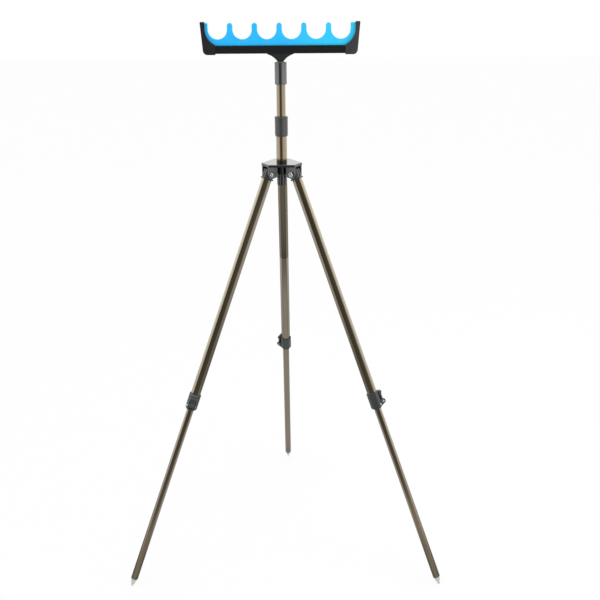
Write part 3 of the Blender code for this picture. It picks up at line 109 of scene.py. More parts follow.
# %% Helpers that add and feed nodes
def join(tree, value, socket):
    """Link an input to another node's output, or set it where value is a number or colour."""
    if isinstance(value, bpy.types.NodeSocket):
        tree.links.new(value, socket)
    else:
        socket.default_value = value


def feed(tree, node, **inputs):
    """Join a node's inputs by name, with _ for a space."""
    for key, value in inputs.items():
        join(tree, value, node.inputs[key.replace("_", " ")])


def add(tree, kind, settings=None, **inputs):
    """Add a node. Settings are its own options, and inputs go to its sockets."""
    made = tree.nodes.new(kind)
    for key, value in (settings or {}).items():
        setattr(made, key, value)
    feed(tree, made, **inputs)
    return made


def finish_tree(name, **constants):
    """A new material with its shader: returns the material, its tree and the shader."""
    made = bpy.data.materials.new(name)
    made.use_nodes = True
    tree = made.node_tree
    shader = tree.nodes["Principled BSDF"]
    feed(tree, shader, **constants)
    return made, tree, shader


print("helpers for nodes: join, feed, add, finish_tree")

# %% [markdown]
# A height, a distance or a direction becomes a colour in three moves: take one coordinate, map
# its range to 0 and 1, and look it up on a ramp. The other helpers multiply, compare and mix.

# %% Helpers that turn places into values and colours
def split(tree, vector):
    """A vector's three coordinates, as the outputs X, Y and Z."""
    return add(tree, "ShaderNodeSeparateXYZ", Vector=vector).outputs


def maths(tree, operation, first, second):
    """A Math node's result for two values, each a socket or a number."""
    made = add(tree, "ShaderNodeMath", {"operation": operation})
    join(tree, first, made.inputs[0])
    join(tree, second, made.inputs[1])
    return made.outputs["Value"]


def spread(tree, source, low, high, to_low, to_high):
    """Map a value from one range to another."""
    made = add(
        tree, "ShaderNodeMapRange", Value=source, From_Min=low, From_Max=high, To_Min=to_low,
        To_Max=to_high,
    )
    return made.outputs["Result"]


def ramp(tree, source, stops):
    """A colour ramp fed by a value, with (place, colour) stops."""
    made = add(tree, "ShaderNodeValToRGB", Fac=source)
    elements = made.color_ramp.elements
    while len(elements) < len(stops):
        elements.new(0.5)
    for element, (place, colour) in zip(elements, stops):
        element.position = place
        element.color = (*colour, 1)
    return made.outputs["Color"]


def levels(tree, source, low, high, stops):
    """Grey by a value that runs from low to high, with (value, grey) stops."""
    share = spread(tree, source, low, high, 0, 1)
    places = [((value - low) / (high - low), (grey, grey, grey)) for value, grey in stops]
    return ramp(tree, share, places)


def mixed(tree, factor, first, second, blend="MIX"):
    """A colour from two, by a factor that is 0 for the first and 1 for the second."""
    settings = {"data_type": "RGBA", "blend_type": blend}
    return add(tree, "ShaderNodeMix", settings, Factor=factor, A=first, B=second).outputs["Result"]


def either(tree, factor, first, second):
    """A shader from two, by a factor that is 0 for the first and 1 for the second."""
    made = add(tree, "ShaderNodeMixShader", Fac=factor)
    join(tree, first, made.inputs[1])
    join(tree, second, made.inputs[2])
    return made.outputs["Shader"]


print("helpers for values: split, maths, spread, ramp, levels, mixed, either")

# %% [markdown]
# ## Studio
# The background is an even white, for the eye and for soft light. For reflections the world is
# a room instead, with a level of grey for each compass direction: dim where the camera stands,
# half grey at the sides, brightest behind the tripod, and white overhead. The dim side draws
# the dark stripe down each tube, and the bright back lights its edges. A picture of a room
# would do this too, but a ramp of greys needs no file, and each wall is one number.

# %% Make the world
DIM_SIDE, DIM_RIGHT, SIDE_WALL, BACK_SIDE, BACK_WALL = 0.10, 0.18, 0.50, 1.35, 1.65
ROOM = [
    (-180, BACK_WALL), (-150, BACK_WALL), (-120, BACK_SIDE), (-105, SIDE_WALL), (-46, SIDE_WALL),
    (-38, DIM_SIDE), (-4, DIM_SIDE), (6, DIM_RIGHT), (13, DIM_RIGHT), (22, SIDE_WALL),
    (105, SIDE_WALL), (120, BACK_SIDE), (150, BACK_WALL), (180, BACK_WALL),
]
CEILING_START, CEILING_FULL = 0.55, 0.95
WHITE = (1, 1, 1, 1)


def by_compass(tree, axes, stops):
    """Grey by direction in degrees: 0 is towards the camera and 90 to its right."""
    towards = maths(tree, "MULTIPLY", axes["Y"], -1)
    turn = maths(tree, "ARCTAN2", axes["X"], towards)
    return levels(tree, turn, -pi, pi, [(radians(angle), grey) for angle, grey in stops])


def make_world():
    """Even white for camera and diffuse rays, a room with a dim front for glossy ones."""
    world = bpy.data.worlds.new("studio")
    bpy.context.scene.world = world
    world.use_nodes = True
    tree = world.node_tree
    even = tree.nodes["Background"]
    feed(tree, even, Color=WHITE)
    axes = split(tree, add(tree, "ShaderNodeTexCoord").outputs["Generated"])
    ceiling = spread(tree, axes["Z"], CEILING_START, CEILING_FULL, 0, 1)
    greys = mixed(tree, ceiling, by_compass(tree, axes, ROOM), WHITE)
    room = add(tree, "ShaderNodeBackground", Color=greys)
    mirrored = add(tree, "ShaderNodeLightPath").outputs["Is Glossy Ray"]
    both = either(tree, mirrored, even.outputs["Background"], room.outputs["Background"])
    feed(tree, tree.nodes["World Output"], Surface=both)


make_world()
print("world: dim side", DIM_SIDE, "back wall", BACK_WALL)

# %% [markdown]
# The floor is a wide pale sheet. What the camera sees of it is mostly plain white, with enough
# of the lit sheet left in it to keep a soft shadow. Metal sees the floor too: an upright tube
# that is looked down upon mirrors the floor two or three metres away. So reflections get their
# own greys. In front of the tripod the floor gets darker with distance. Elsewhere it is
# dullest in a ring close to the tripod, where the real one shades its own sheet, and lighter
# from there on. Two strips keep the legs' ends from going dark: one lies just in front of the
# front feet, and one runs from the rear foot backwards. In all the lists below the first
# number is a place, in degrees or in metres, and the second is how much there is.

# %% Make the floor
FLOOR_HALF = 12.0
FLOOR_WHITE = 0.90
SEEN_SHARE = 0.85
FRONT = [(-180, 0), (-44, 0), (-30, 1), (12, 1), (34, 0), (180, 0)]
FRONT_APEX = (0, -0.40, 0)
FRONT_LEVELS = [(0.5, 0.55), (0.9, 0.42), (1.2, 0.22), (1.65, 0.17), (3.0, 0.13)]
SIDE_LEVELS = [
    (0.22, 0.56), (0.35, 0.20), (0.65, 0.22), (0.9, 0.48), (1.4, 0.70), (2.0, 0.72), (2.8, 0.76),
    (3.4, 1.00),
]
FAR = 4.0
STRIPS = [(-1.2, 0), (-0.7, 0.42), (-0.38, 0.42), (-0.30, 0), (0.15, 0), (0.30, 0.48), (1.2, 0.50)]
STRIPS_HALF = 1.5


def floor_mirrored(tree):
    """What glossy rays see of the floor: levels by distance, in front and elsewhere."""
    place = add(tree, "ShaderNodeTexCoord").outputs["Object"]
    centred = add(tree, "ShaderNodeVectorMath", {"operation": "SUBTRACT"}, Vector=place)
    join(tree, FRONT_APEX, centred.inputs[1])
    front = by_compass(tree, split(tree, centred.outputs["Vector"]), FRONT)
    length = add(tree, "ShaderNodeVectorMath", {"operation": "LENGTH"}, Vector=place)
    distance = length.outputs["Value"]
    beside = levels(tree, distance, 0, FAR, SIDE_LEVELS)
    ahead = levels(tree, distance, 0, FAR, FRONT_LEVELS)
    strips = levels(tree, split(tree, place)["Y"], -STRIPS_HALF, STRIPS_HALF, STRIPS)
    lit = mixed(tree, 1.0, mixed(tree, front, beside, ahead), strips, "LIGHTEN")
    return add(tree, "ShaderNodeEmission", Color=lit).outputs["Emission"]


def floor_finish():
    """A matt sheet that treats camera, glossy and other rays in their own way."""
    made, tree, shader = finish_tree(
        "pale_floor", Base_Color=(FLOOR_WHITE, FLOOR_WHITE, FLOOR_WHITE, 1), Roughness=1.0,
        Specular_IOR_Level=0.0,
    )
    path = add(tree, "ShaderNodeLightPath").outputs
    plain = add(tree, "ShaderNodeEmission").outputs["Emission"]
    share = maths(tree, "MULTIPLY", path["Is Camera Ray"], SEEN_SHARE)
    seen = either(tree, share, shader.outputs["BSDF"], plain)
    both = either(tree, path["Is Glossy Ray"], seen, floor_mirrored(tree))
    feed(tree, tree.nodes["Material Output"], Surface=both)
    return made


def make_floor():
    """A large plane at height 0."""
    bm = bmesh.new()
    bmesh.ops.create_grid(bm, x_segments=8, y_segments=8, size=FLOOR_HALF)
    mesh = bpy.data.meshes.new("floor")
    bm.to_mesh(mesh)
    bm.free()
    floor = bpy.data.objects.new("floor", mesh)
    bpy.context.scene.collection.objects.link(floor)
    mesh.materials.append(floor_finish())


make_floor()
print("floor", 2 * FLOOR_HALF, "m square")

# %% [markdown]
# Two softboxes add what an even white sky lacks: a brighter top on every form and a side that
# is a little brighter than the other. They stay out of reflections, where the room already is.

# %% Hang the softboxes
LAMP_AIM = Vector((0, MAST_Y, 0.8))
LAMP_WATTS = 10


def make_lamp(name, place, size):
    """A square softbox that looks just below the hub and stays out of reflections."""
    data = bpy.data.lights.new(name, "AREA")
    data.size = size
    data.energy = LAMP_WATTS
    lamp = bpy.data.objects.new(name, data)
    bpy.context.scene.collection.objects.link(lamp)
    lamp.location = place
    lamp.rotation_euler = (LAMP_AIM - Vector(place)).to_track_quat("-Z", "Y").to_euler()
    lamp.visible_glossy = False


make_lamp("overhead", place=(0.5, -0.6, 3.4), size=1.8)
make_lamp("right_side", place=(2.6, -1.6, 1.9), size=1.6)
bpy.context.scene.view_settings.view_transform = "Standard"
print("two softboxes")

# %% [markdown]
# ## Finishes
# A finish is a colour, a gloss and a relief, and on real things none of them is even. Painted
# images could show that, but they have to be fitted to each piece. Noise fills space, so it
# fits any shape, and its scale is about the number of blotches in a metre. Most finishes read
# the object's coordinates. The drawn tubes read their own, kept in an attribute, so their
# marks run along a slanted leg as they do along the upright mast.

# %% Noise, and what it is fed into
FINE_DETAIL, FINE_ROUGHNESS = 4.0, 0.6
COLOUR_LOW, COLOUR_HIGH = 0.35, 0.65
GLOSS_LOW, GLOSS_HIGH = 0.3, 0.7


def own_place(tree):
    """The piece's own coordinates."""
    return add(tree, "ShaderNodeAttribute", {"attribute_name": "own"}).outputs["Vector"]


def object_place(tree):
    """The object's coordinates."""
    return add(tree, "ShaderNodeTexCoord").outputs["Object"]


def noise(tree, place, scale, detail=3.0, roughness=0.5):
    """Soft noise, with its own scale on each axis from a Mapping node."""
    scaled = add(tree, "ShaderNodeMapping", Vector=place, Scale=scale).outputs["Vector"]
    made = add(
        tree, "ShaderNodeTexNoise", Vector=scaled, Scale=1.0, Detail=detail, Roughness=roughness
    )
    return made.outputs["Fac"]


def fine_noise(tree, place, scale):
    """Noise that stays crisp when it is looked at closely."""
    return noise(tree, place, scale, FINE_DETAIL, FINE_ROUGHNESS)


def between(tree, value, colours):
    """A colour between two, over the range in which a noise value mostly lies."""
    dark, light = colours
    return ramp(tree, value, [(COLOUR_LOW, dark), (COLOUR_HIGH, light)])


def roughen(tree, shader, value, roughness):
    """Let a noise value set the shader's roughness, from the first value to the second."""
    feed(tree, shader, Roughness=spread(tree, value, GLOSS_LOW, GLOSS_HIGH, *roughness))


def bump(tree, shader, height, distance, strength=1.0):
    """Feed a height into the shader's normal."""
    made = add(tree, "ShaderNodeBump", Distance=distance, Strength=strength, Height=height)
    feed(tree, shader, Normal=made.outputs["Normal"])


print("noise mostly lies from", COLOUR_LOW, "to", COLOUR_HIGH)

# %% [markdown]
# The tubes are bronze anodised aluminium. Drawing the tube through its die leaves faint lines
# along it, and the dye takes a little unevenly. Noise stretched along the tube gives both.
# A paler colour is mixed in where the tube is seen at a slant, a painted sheen, so the bronze is
# warm face on and paler towards its sides. A tube may get painted shade, darker at its foot or its
# head. Most tubes don't, so their painted shade starts out of reach.

# %% Bronze anodised tube
BRONZE = (0.345, 0.267, 0.172), (0.405, 0.318, 0.208)
DYE_CLOUDS, DRAWN_LINES = (60, 60, 9), (1400, 1400, 6)
# Painted sheen: the paler colour mixed in where a tube is seen at a slant.
SLANT_SHEEN = (0.420, 0.385, 0.300, 1)
SLANT_START, SLANT_FULL = 0.05, 0.55
# Painted shade: the dark colour of a ring at a tube's foot or head, and its share.
RING_PAINTED_SHADE, RING_SHARE = (0.045, 0.040, 0.034, 1), 0.55
SHADE_EDGE = 0.0004
OUT_OF_REACH = 10.0


def bronze_colour(tree):
    """Clouded bronze, with a paler painted sheen where the tube is seen at a slant."""
    clouds = noise(tree, own_place(tree), DYE_CLOUDS)
    facing = add(tree, "ShaderNodeLayerWeight", Blend=0.5).outputs["Facing"]
    slant = spread(tree, facing, SLANT_START, SLANT_FULL, 0, 1)
    return mixed(tree, slant, between(tree, clouds, BRONZE), SLANT_SHEEN)


def painted_shade(tree, foot, head, share):
    """How much painted shade there is: a share below foot and above head, in own height."""
    height = split(tree, own_place(tree))["Z"]
    below = spread(tree, height, foot - SHADE_EDGE, foot, share, 0)
    above = spread(tree, height, head, head + SHADE_EDGE, 0, share)
    return maths(tree, "MAXIMUM", below, above)


def bronze_finish(name, foot=-OUT_OF_REACH, head=OUT_OF_REACH, share=RING_SHARE, shade_colour=RING_PAINTED_SHADE):
    """Drawn and anodised aluminium, with painted shade below foot and above head."""
    made, tree, shader = finish_tree(name, Metallic=1.0)
    # Painted shade: the dark colour is mixed in below foot and above head.
    shaded = mixed(tree, painted_shade(tree, foot, head, share), bronze_colour(tree), shade_colour)
    feed(tree, shader, Base_Color=shaded)
    lines = fine_noise(tree, own_place(tree), DRAWN_LINES)
    roughen(tree, shader, lines, roughness=(0.10, 0.19))
    bump(tree, shader, lines, distance=0.000008, strength=0.5)
    return made


FINISH = {"anodised_bronze": bronze_finish("bronze_anodised_tube")}
print("finish:", FINISH["anodised_bronze"].name)

# %% [markdown]
# Handling rubs the edges of mouldings and of the bar a little paler, and never evenly. Every
# rounded edge carries an attribute, wear, which is 1 on the round. Broken up by noise, it
# mixes a paler colour in. A Bevel node could find the edges in the shader, but it traces extra
# rays for every sample, and an attribute is only read.

# %% Rubbed edges
PATCHES = (170, 170, 170)
PATCH_START, PATCH_FULL = 0.40, 0.62


def worn(tree, colour, rubbed, share):
    """Mix a paler colour into the rounded edges, in broken patches."""
    edge = add(tree, "ShaderNodeAttribute", {"attribute_name": "wear"}).outputs["Fac"]
    patches = noise(tree, object_place(tree), PATCHES)
    broken = spread(tree, patches, PATCH_START, PATCH_FULL, 0, share)
    return mixed(tree, maths(tree, "MULTIPLY", edge, broken), colour, (*rubbed, 1))


print("patches of about", round(1000 / PATCHES[0]), "mm")

# %% [markdown]
# The clamps, fittings and caps are moulded in graphite-grey plastic with a fine grain. The
# comb is a softer plastic that must not scratch a rod: matt and bright blue, with painted light
# that makes it paler and greener towards its right end. Bushes are left in the plastic's own
# pale colour, and pads are rubber.
# All of these are clouded colour with a grain, so one function makes them.

# %% Moulded plastics
PLASTIC_CLOUDS, GRAINS, GRAIN_DETAIL = (45, 45, 45), (1900, 1900, 1900), 2.0
GRAPHITE = (0.031, 0.033, 0.034), (0.041, 0.043, 0.044)
GRAPHITE_RUBBED = (0.10, 0.103, 0.106)
COMB_LEFT = (0.016, 0.460, 0.950), (0.026, 0.495, 0.975)
# Painted light: the comb's right end is paler and greener, where more light falls.
COMB_RIGHT_LIT = (0.026, 0.585, 0.950), (0.036, 0.625, 0.975)
COMB_END = 0.13
COMB_MIDDLE_SHARE = 0.22


def painted_light_along_rack(tree, left, right):
    """Painted light: mix two colours from the rack's left end to its right, most of it past the middle."""
    across = split(tree, object_place(tree))["X"]
    stops = [(-COMB_END, 0), (0, COMB_MIDDLE_SHARE), (COMB_END, 1)]
    return mixed(tree, levels(tree, across, -COMB_END, COMB_END, stops), left, right)


def moulded_finish(
    name, colours, rubbed, roughness, grain, rubbed_share=0.5, index=1.5, shine=0.5, lit_right_end=None,
):
    """Moulded plastic: clouded colour, fine grain, edges rubbed lighter; painted light at a right end."""
    made, tree, shader = finish_tree(name, IOR=index, Specular_IOR_Level=shine)
    clouds = noise(tree, object_place(tree), PLASTIC_CLOUDS)
    colour = between(tree, clouds, colours)
    # Painted light: the colour grows paler towards the rack's right end.
    if lit_right_end:
        colour = painted_light_along_rack(tree, colour, between(tree, clouds, lit_right_end))
    feed(tree, shader, Base_Color=worn(tree, colour, rubbed, rubbed_share))
    grains = noise(tree, object_place(tree), GRAINS, GRAIN_DETAIL)
    roughen(tree, shader, grains, roughness)
    bump(tree, shader, grains, grain)
    return made


FINISH.update({
    "graphite_plastic": moulded_finish(
        "grained_graphite", GRAPHITE, GRAPHITE_RUBBED, roughness=(0.27, 0.38), grain=0.00003,
        index=1.6,
    ),
    "blue_comb": moulded_finish(
        "soft_blue", COMB_LEFT, rubbed=(0.055, 0.600, 0.990), roughness=(0.45, 0.60),
        grain=0.00002, rubbed_share=0.4, shine=0.2, lit_right_end=COMB_RIGHT_LIT,
    ),
    "bush_plastic": moulded_finish(
        "natural_bush", ((0.27, 0.27, 0.26), (0.33, 0.33, 0.31)), rubbed=(0.38, 0.38, 0.36),
        roughness=(0.40, 0.55), grain=0.00003,
    ),
    "pad_rubber": moulded_finish(
        "pad_rubber", ((0.016, 0.016, 0.016), (0.026, 0.026, 0.025)), rubbed=(0.05, 0.05, 0.05),
        roughness=(0.70, 0.88), grain=0.00008,
    ),
})
print("finishes:", len(FINISH))

# %% [markdown]
# The hub, the rack's socket and the mast's lock come from the clamps' plastic in a polished
# mould, so they mirror more and have hardly any grain. A higher index of refraction stands for
# the polish. The hub and the socket are also nearly black.

# %% Polished mouldings
POLISHED_GRAIN = 0.00001
DEEP = (0.005, 0.006, 0.007), (0.008, 0.009, 0.010)


def graphite(name, roughness, index, colours=GRAPHITE):
    """The clamps' plastic with another gloss, and another colour where one is given."""
    return moulded_finish(name, colours, GRAPHITE_RUBBED, roughness, POLISHED_GRAIN, index=index)


FINISH["glossy_black"] = graphite("graphite_hub", (0.10, 0.18), index=2.0, colours=DEEP)
print("finish:", FINISH["glossy_black"].name)

# %% [markdown]
# The rack's bar is an aluminium extrusion in black, and its die lines run across the tripod,
# along X. Noise squeezed in Y and Z and stretched in X draws them.

# %% Black anodised bar
BAR_LINES = (7, 1500, 1500)
BAR_COLOURS = (0.0055, 0.0070, 0.0085), (0.0095, 0.0115, 0.0130)


def bar_finish():
    """Black anodised extrusion, with its die lines along X."""
    made, tree, shader = finish_tree("black_anodised_bar")
    lines = fine_noise(tree, object_place(tree), BAR_LINES)
    colour = between(tree, lines, BAR_COLOURS)
    feed(tree, shader, Base_Color=worn(tree, colour, rubbed=(0.030, 0.034, 0.038), share=0.4))
    roughen(tree, shader, lines, roughness=(0.30, 0.44))
    bump(tree, shader, lines, distance=0.00002)
    return made


FINISH["black_extrusion"] = bar_finish()
print("finish:", FINISH["black_extrusion"].name)

# %% [markdown]
# Bolts are polished steel, the spikes are dull zinc that is only partly metal to the eye, and
# the rack's insert is turned brass, whose marks lie close together along its axis. Only the
# colours, the gloss and the size of the marks differ.

# %% Bare metals
def metal_finish(name, colours, roughness, marks, metallic=1.0):
    """Bare metal with fine marks, whose scale on each axis is given."""
    made, tree, shader = finish_tree(name, Metallic=metallic)
    value = fine_noise(tree, object_place(tree), marks)
    feed(tree, shader, Base_Color=between(tree, value, colours))
    roughen(tree, shader, value, roughness)
    bump(tree, shader, value, distance=0.00002)
    return made


FINISH.update({
    "polished_steel": metal_finish(
        "polished_steel", ((0.74, 0.74, 0.74), (0.80, 0.80, 0.79)), roughness=(0.16, 0.26),
        marks=(700, 700, 700),
    ),
    "zinc_spike": metal_finish(
        "dull_zinc", ((0.66, 0.67, 0.63), (0.78, 0.79, 0.75)), roughness=(0.34, 0.50),
        marks=(500, 500, 900), metallic=0.3,
    ),
    "brass_insert": metal_finish(
        "turned_brass", ((0.56, 0.41, 0.17), (0.66, 0.50, 0.24)), roughness=(0.20, 0.36),
        marks=(300, 300, 1600),
    ),
})
print("finishes:", len(FINISH))

# %% [markdown]
# Some pieces differ from others of their kind. The mast has painted shade, a darker ring at its
# foot, and the rear leg a painted dark reflection over its first stretch below the hub. The rear
# leg's fitting is as dark as the hub. The bracket is darker plastic than the clamps, the left cap
# has painted shade that makes it darker than the clamps, and the side clamps' levers have been
# polished by thumbs.

# %% Finishes of single pieces
# The mast's painted shade reaches this far above the hub.
RING_HEIGHT = 0.0085
RING_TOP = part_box("hub")[1][2] + RING_HEIGHT
# Painted dark reflection on the rear leg: its reach below the pivot, its share and its colour.
BAND_LENGTH, BAND_SHARE, BAND_PAINTED_SHADE = 0.235, 0.58, (0.045, 0.036, 0.018, 1)
BRACKET_DARK = (0.018, 0.019, 0.020), (0.026, 0.027, 0.028)
# Painted shade: the left cap is darker than the right one.
CAP_PAINTED_SHADE = (0.010, 0.011, 0.012), (0.014, 0.015, 0.016)
THUMBED = (0.18, 0.26)
SATIN = (0.24, 0.34)
OWN_FINISH = {
    "lower_mast_tube": bronze_finish("bronze_mast_with_painted_shade", foot=RING_TOP),
    "upper_leg_tube_rear": bronze_finish(
        "bronze_leg_with_painted_shade", head=-BAND_LENGTH, share=BAND_SHARE, shade_colour=BAND_PAINTED_SHADE
    ),
    "leg_fitting_rear": FINISH["glossy_black"],
    "rack_socket": graphite("graphite_socket", (0.08, 0.14), index=2.6, colours=DEEP),
    "mast_lock_collar": graphite("graphite_lock", SATIN, index=1.8),
    "rack_bracket": graphite("graphite_bracket", (0.30, 0.40), index=1.5, colours=BRACKET_DARK),
    "clamp_lever_left": graphite("graphite_lever_left", THUMBED, index=2.0),
    "clamp_lever_right": graphite("graphite_lever_right", THUMBED, index=2.0),
    "end_cap_left": graphite("graphite_cap_left_painted_shade", SATIN, index=1.8, colours=CAP_PAINTED_SHADE),
    "end_cap_right": graphite("graphite_cap_right", SATIN, index=1.9),
}
print("own finishes:", sorted(OWN_FINISH), "ring up to", round(RING_TOP, 4))

# %% [markdown]
# ## Pieces
# A CAD solid has knife-sharp edges, and no real part has. A real edge is rounded by its mould
# or its die, and the thin line of light on it tells the eye what it is. So each visible solid
# gets a copy whose loose triangles are merged, whose flat faces are made whole, and whose
# edges are rounded. The first helper gives the frames in which the copies are described: one
# for each leg with its clamp, and an upright one for the mast and the rack.

# %% Frames of the legs and the mast
def leg_frame(leg):
    """Origin on the leg's pivot, Y along the pivot, Z up the leg."""
    fold, slide = JOINT[f"leg_fold_{leg}"], JOINT[f"leg_slide_{leg}"]
    across, up = Vector(fold["axis"]).normalized(), Vector(slide["axis"]).normalized()
    axes = Matrix((across.cross(up), across, up)).transposed().to_4x4()
    return Matrix.Translation(fold["pos_m"]) @ axes


LEG_FRAME = {leg: leg_frame(leg) for leg in LEGS}
UPRIGHT = Matrix.Translation((0, MAST_Y, 0))


def frame_of(node):
    """The frame that a node's own coordinates are given in."""
    on_a_leg = "leg" in BODY[node] or "lever" in BODY[node]
    return LEG_FRAME[node.rsplit("_", 1)[-1]] if on_a_leg else UPRIGHT


print("legs:", {leg: [round(v, 3) for v in LEG_FRAME[leg].translation] for leg in LEGS})

# %% [markdown]
# Three helpers do the shared work. The first keeps a piece's own coordinates in an attribute
# and hangs the finished piece on its body. The second copies a node, merges its loose
# triangles and dissolves the inner edges of its flat faces. The third rounds such a copy, by a
# bevel on every edge that is sharper than a smooth round's steps.

# %% Helpers for pieces
SHARP = radians(35)
FLAT = radians(0.5)
SAME = 1e-6


def finish_piece(bm, node, where, in_place):
    """The piece that stands for a node. A bmesh that isn't in place lies in the frame where."""
    mesh = bpy.data.meshes.new(node + "_piece")
    bm.to_mesh(mesh)
    bm.free()
    back = where.inverted() if in_place else Matrix()
    own = mesh.attributes.new("own", "FLOAT_VECTOR", "POINT")
    own.data.foreach_set("vector", [v for p in mesh.vertices for v in back @ p.co])
    if not in_place:
        mesh.transform(where)
    mesh.shade_smooth()
    mesh.set_sharp_from_angle(angle=SHARP)
    mesh.materials.append(OWN_FINISH.get(node, FINISH[SLOT[node]]))
    piece = bpy.data.objects.new(node + "_piece", mesh)
    bpy.context.scene.collection.objects.link(piece)
    normals = piece.modifiers.new("flat_faces", "WEIGHTED_NORMAL")
    normals.keep_sharp = True
    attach(piece, BODY[node])
    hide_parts(node)


def merged_copy(node):
    """A bmesh of a node with its triangles joined and its flat faces made whole."""
    bm = bmesh.new()
    bm.from_mesh(frame["nodes"][node].data)
    bmesh.ops.remove_doubles(bm, verts=bm.verts, dist=SAME)
    bmesh.ops.dissolve_limit(bm, angle_limit=FLAT, verts=bm.verts, edges=bm.edges, delimit=set())
    return bm


def rounded_copy(node, radius, segments):
    """The piece for a node whose sharp edges are rounded, with their rounds marked as wear."""
    bm = merged_copy(node)
    wear = bm.faces.layers.float.new("wear")
    sharp = [e for e in bm.edges if len(e.link_faces) == 2 and e.calc_face_angle() > SHARP]
    made = bmesh.ops.bevel(
        bm, geom=sharp, affect="EDGES", offset=radius, segments=segments, profile=0.5,
        material=-1, clamp_overlap=True,
    )
    for face in made["faces"]:
        face[wear] = 1.0
    bmesh.ops.remove_doubles(bm, verts=bm.verts, dist=SAME)
    finish_piece(bm, node, frame_of(node), in_place=True)


print("edges sharper than", round(degrees(SHARP)), "degrees are rounded")

# %% [markdown]
# ## Tubes
# A leg tube is a hexagon with soft corners, drawn long. It starts as a six-sided circle, whose
# corners are beveled, whose rim is inset by the wall, and which is extruded to its length. A
# drawn tube's flats are never quite flat: each is crowned by a tenth of a millimetre, which
# gives its reflections their soft change across the face. The mast's round tubes are made in
# the same way from a fine circle. Lengths and widths are read from the CAD nodes.

# %% The section of a tube
ROUND_SIDES = 96
CORNER_STEPS = 6
CROWN, CROWN_CUTS = 0.00010, 7
# Shares of half the width: sides longer than the first are the hexagon's own, and points
# further out than the second lie on a flat.
LONG_SIDE, ON_THE_FLAT = 0.5, 0.999


def crown_flats(bm, half):
    """Subdivide a hexagon's six long sides and push their middles outwards."""
    flats = [e for e in bm.edges if e.calc_length() > half * LONG_SIDE]
    reach = flats[0].calc_length() / 2
    bmesh.ops.subdivide_edges(bm, edges=flats, cuts=CROWN_CUTS)
    for k in range(6):
        out = Vector((cos(k * pi / 3), sin(k * pi / 3), 0))
        for vert in bm.verts:
            along = (vert.co - out * vert.co.dot(out)).length
            if vert.co.dot(out) > half * ON_THE_FLAT and along < reach:
                vert.co += out * CROWN * (1 - (along / reach) ** 2)


def tube_section(half, wall, corner):
    """The flat ring that is drawn long: a hexagon where it has corners, else a fine circle."""
    bm = bmesh.new()
    if corner:
        bmesh.ops.create_circle(bm, cap_ends=True, segments=6, radius=half / cos(pi / 6))
        bmesh.ops.bevel(
            bm, geom=bm.verts[:], affect="VERTICES", offset=corner * tan(pi / 6),
            segments=CORNER_STEPS, profile=0.5, material=-1,
        )
        crown_flats(bm, half)
    else:
        bmesh.ops.create_circle(bm, cap_ends=True, segments=ROUND_SIDES, radius=half)
    disc = bm.faces[:]
    bmesh.ops.inset_region(bm, faces=disc, thickness=wall, use_even_offset=True, use_boundary=True)
    bmesh.ops.delete(bm, geom=disc, context="FACES_ONLY")
    return bm


print("flats crowned by", CROWN * 1000, "mm")

# %% [markdown]
# Drawing the section long is one extrude. The two ends are sawn and have their edges broken,
# by a small bevel on every edge that turns by about a right angle.

# %% Draw the tubes
RIM_ANGLE, RIM_EDGE = radians(80), 0.0002


def extents(node, where):
    """A node's lowest and highest coordinates in a frame."""
    back = where.inverted()
    points = [back @ v.co for v in frame["nodes"][node].data.vertices]
    low = Vector([min(p[i] for p in points) for i in range(3)])
    high = Vector([max(p[i] for p in points) for i in range(3)])
    return low, high


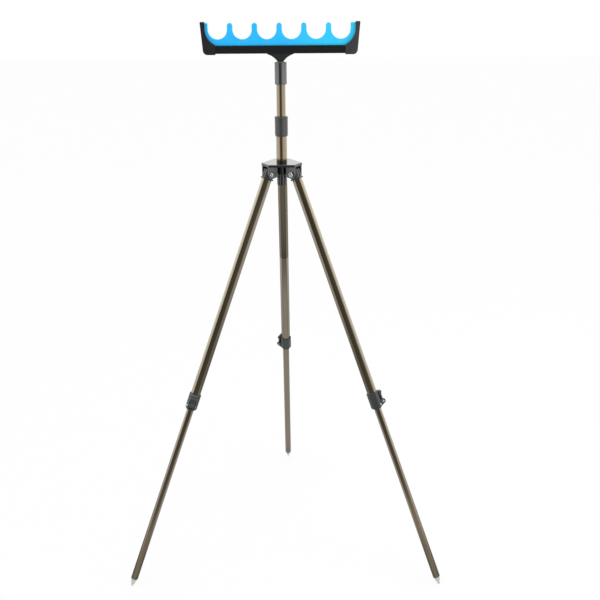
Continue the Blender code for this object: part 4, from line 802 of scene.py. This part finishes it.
def draw_tube(node, wall, corner=None):
    """A tube with its wall, its soft corners and slightly broken end edges."""
    where = frame_of(node)
    low, high = extents(node, where)
    half, length = (high.x - low.x) / 2, high.z - low.z
    bm = tube_section(half, wall, corner)
    drawn = bmesh.ops.extrude_face_region(bm, geom=bm.faces[:])["geom"]
    far_end = [v for v in drawn if isinstance(v, bmesh.types.BMVert)]
    bmesh.ops.translate(bm, verts=far_end, vec=(0, 0, length))
    bmesh.ops.recalc_face_normals(bm, faces=bm.faces[:])
    rims = [e for e in bm.edges if e.calc_face_angle(0) > RIM_ANGLE]
    bmesh.ops.bevel(
        bm, geom=rims, affect="EDGES", offset=RIM_EDGE, segments=2, profile=0.5, material=-1
    )
    bmesh.ops.translate(bm, verts=bm.verts[:], vec=(0, 0, low.z))
    finish_piece(bm, node, where, in_place=False)
    print(node, "length", round(length, 4), "half width", round(half, 5))


LEG_WALL = 0.0010
for leg in LEGS:
    draw_tube(f"upper_leg_tube_{leg}", LEG_WALL, corner=0.0015)
    draw_tube(f"lower_leg_tube_{leg}", LEG_WALL, corner=0.0013)
draw_tube("lower_mast_tube", wall=0.0008)
draw_tube("upper_mast_tube", wall=0.0010)

# %% [markdown]
# ## Mouldings and small metal
# The rest are rounded copies. Thick plastic gets a wider edge than a thin pin or a screw. The
# comb's edges must not scratch a rod, so they are rounded in finer steps than the others.

# %% Round the mouldings
EDGES = {
    "hub": 0.0004, "rack_socket": 0.0004, "mast_lock_collar": 0.0003, "rack_bracket": 0.0004,
    "rack_bar": 0.0002, "rod_comb": 0.0005, "end_cap_left": 0.0008, "end_cap_right": 0.0008,
    "bracket_screw_left": 0.0002, "bracket_screw_right": 0.0002,
    "cap_screw_left": 0.0002, "cap_screw_right": 0.0002,
}
LEG_EDGES = {
    "leg_fitting": 0.0003, "clamp_collar": 0.0004, "clamp_lever": 0.0004, "ground_spike": 0.0003,
    "pivot_bolt": 0.0002, "pivot_nut": 0.0002, "lever_pin": 0.0002, "collar_screw": 0.0002,
}
STEPS, COMB_STEPS = 2, 3
for stem, radius in LEG_EDGES.items():
    EDGES.update({f"{stem}_{leg}": radius for leg in LEGS})
for node, radius in EDGES.items():
    rounded_copy(node, radius, COMB_STEPS if node == "rod_comb" else STEPS)
print("rounded copies:", len(EDGES))

# %% [markdown]
# ## Inner parts
# What is left sits inside: bushes, pads, plugs, the stud and its insert. Their CAD shapes are
# right as they are, so they only get their finishes.

# %% Finish the inner parts
inner = [node for node, thing in frame["nodes"].items() if not thing.hide_render]
for node in inner:
    thing = frame["nodes"][node]
    thing.data.materials.clear()
    thing.data.materials.append(FINISH[SLOT[node]])
print("inner parts:", inner)
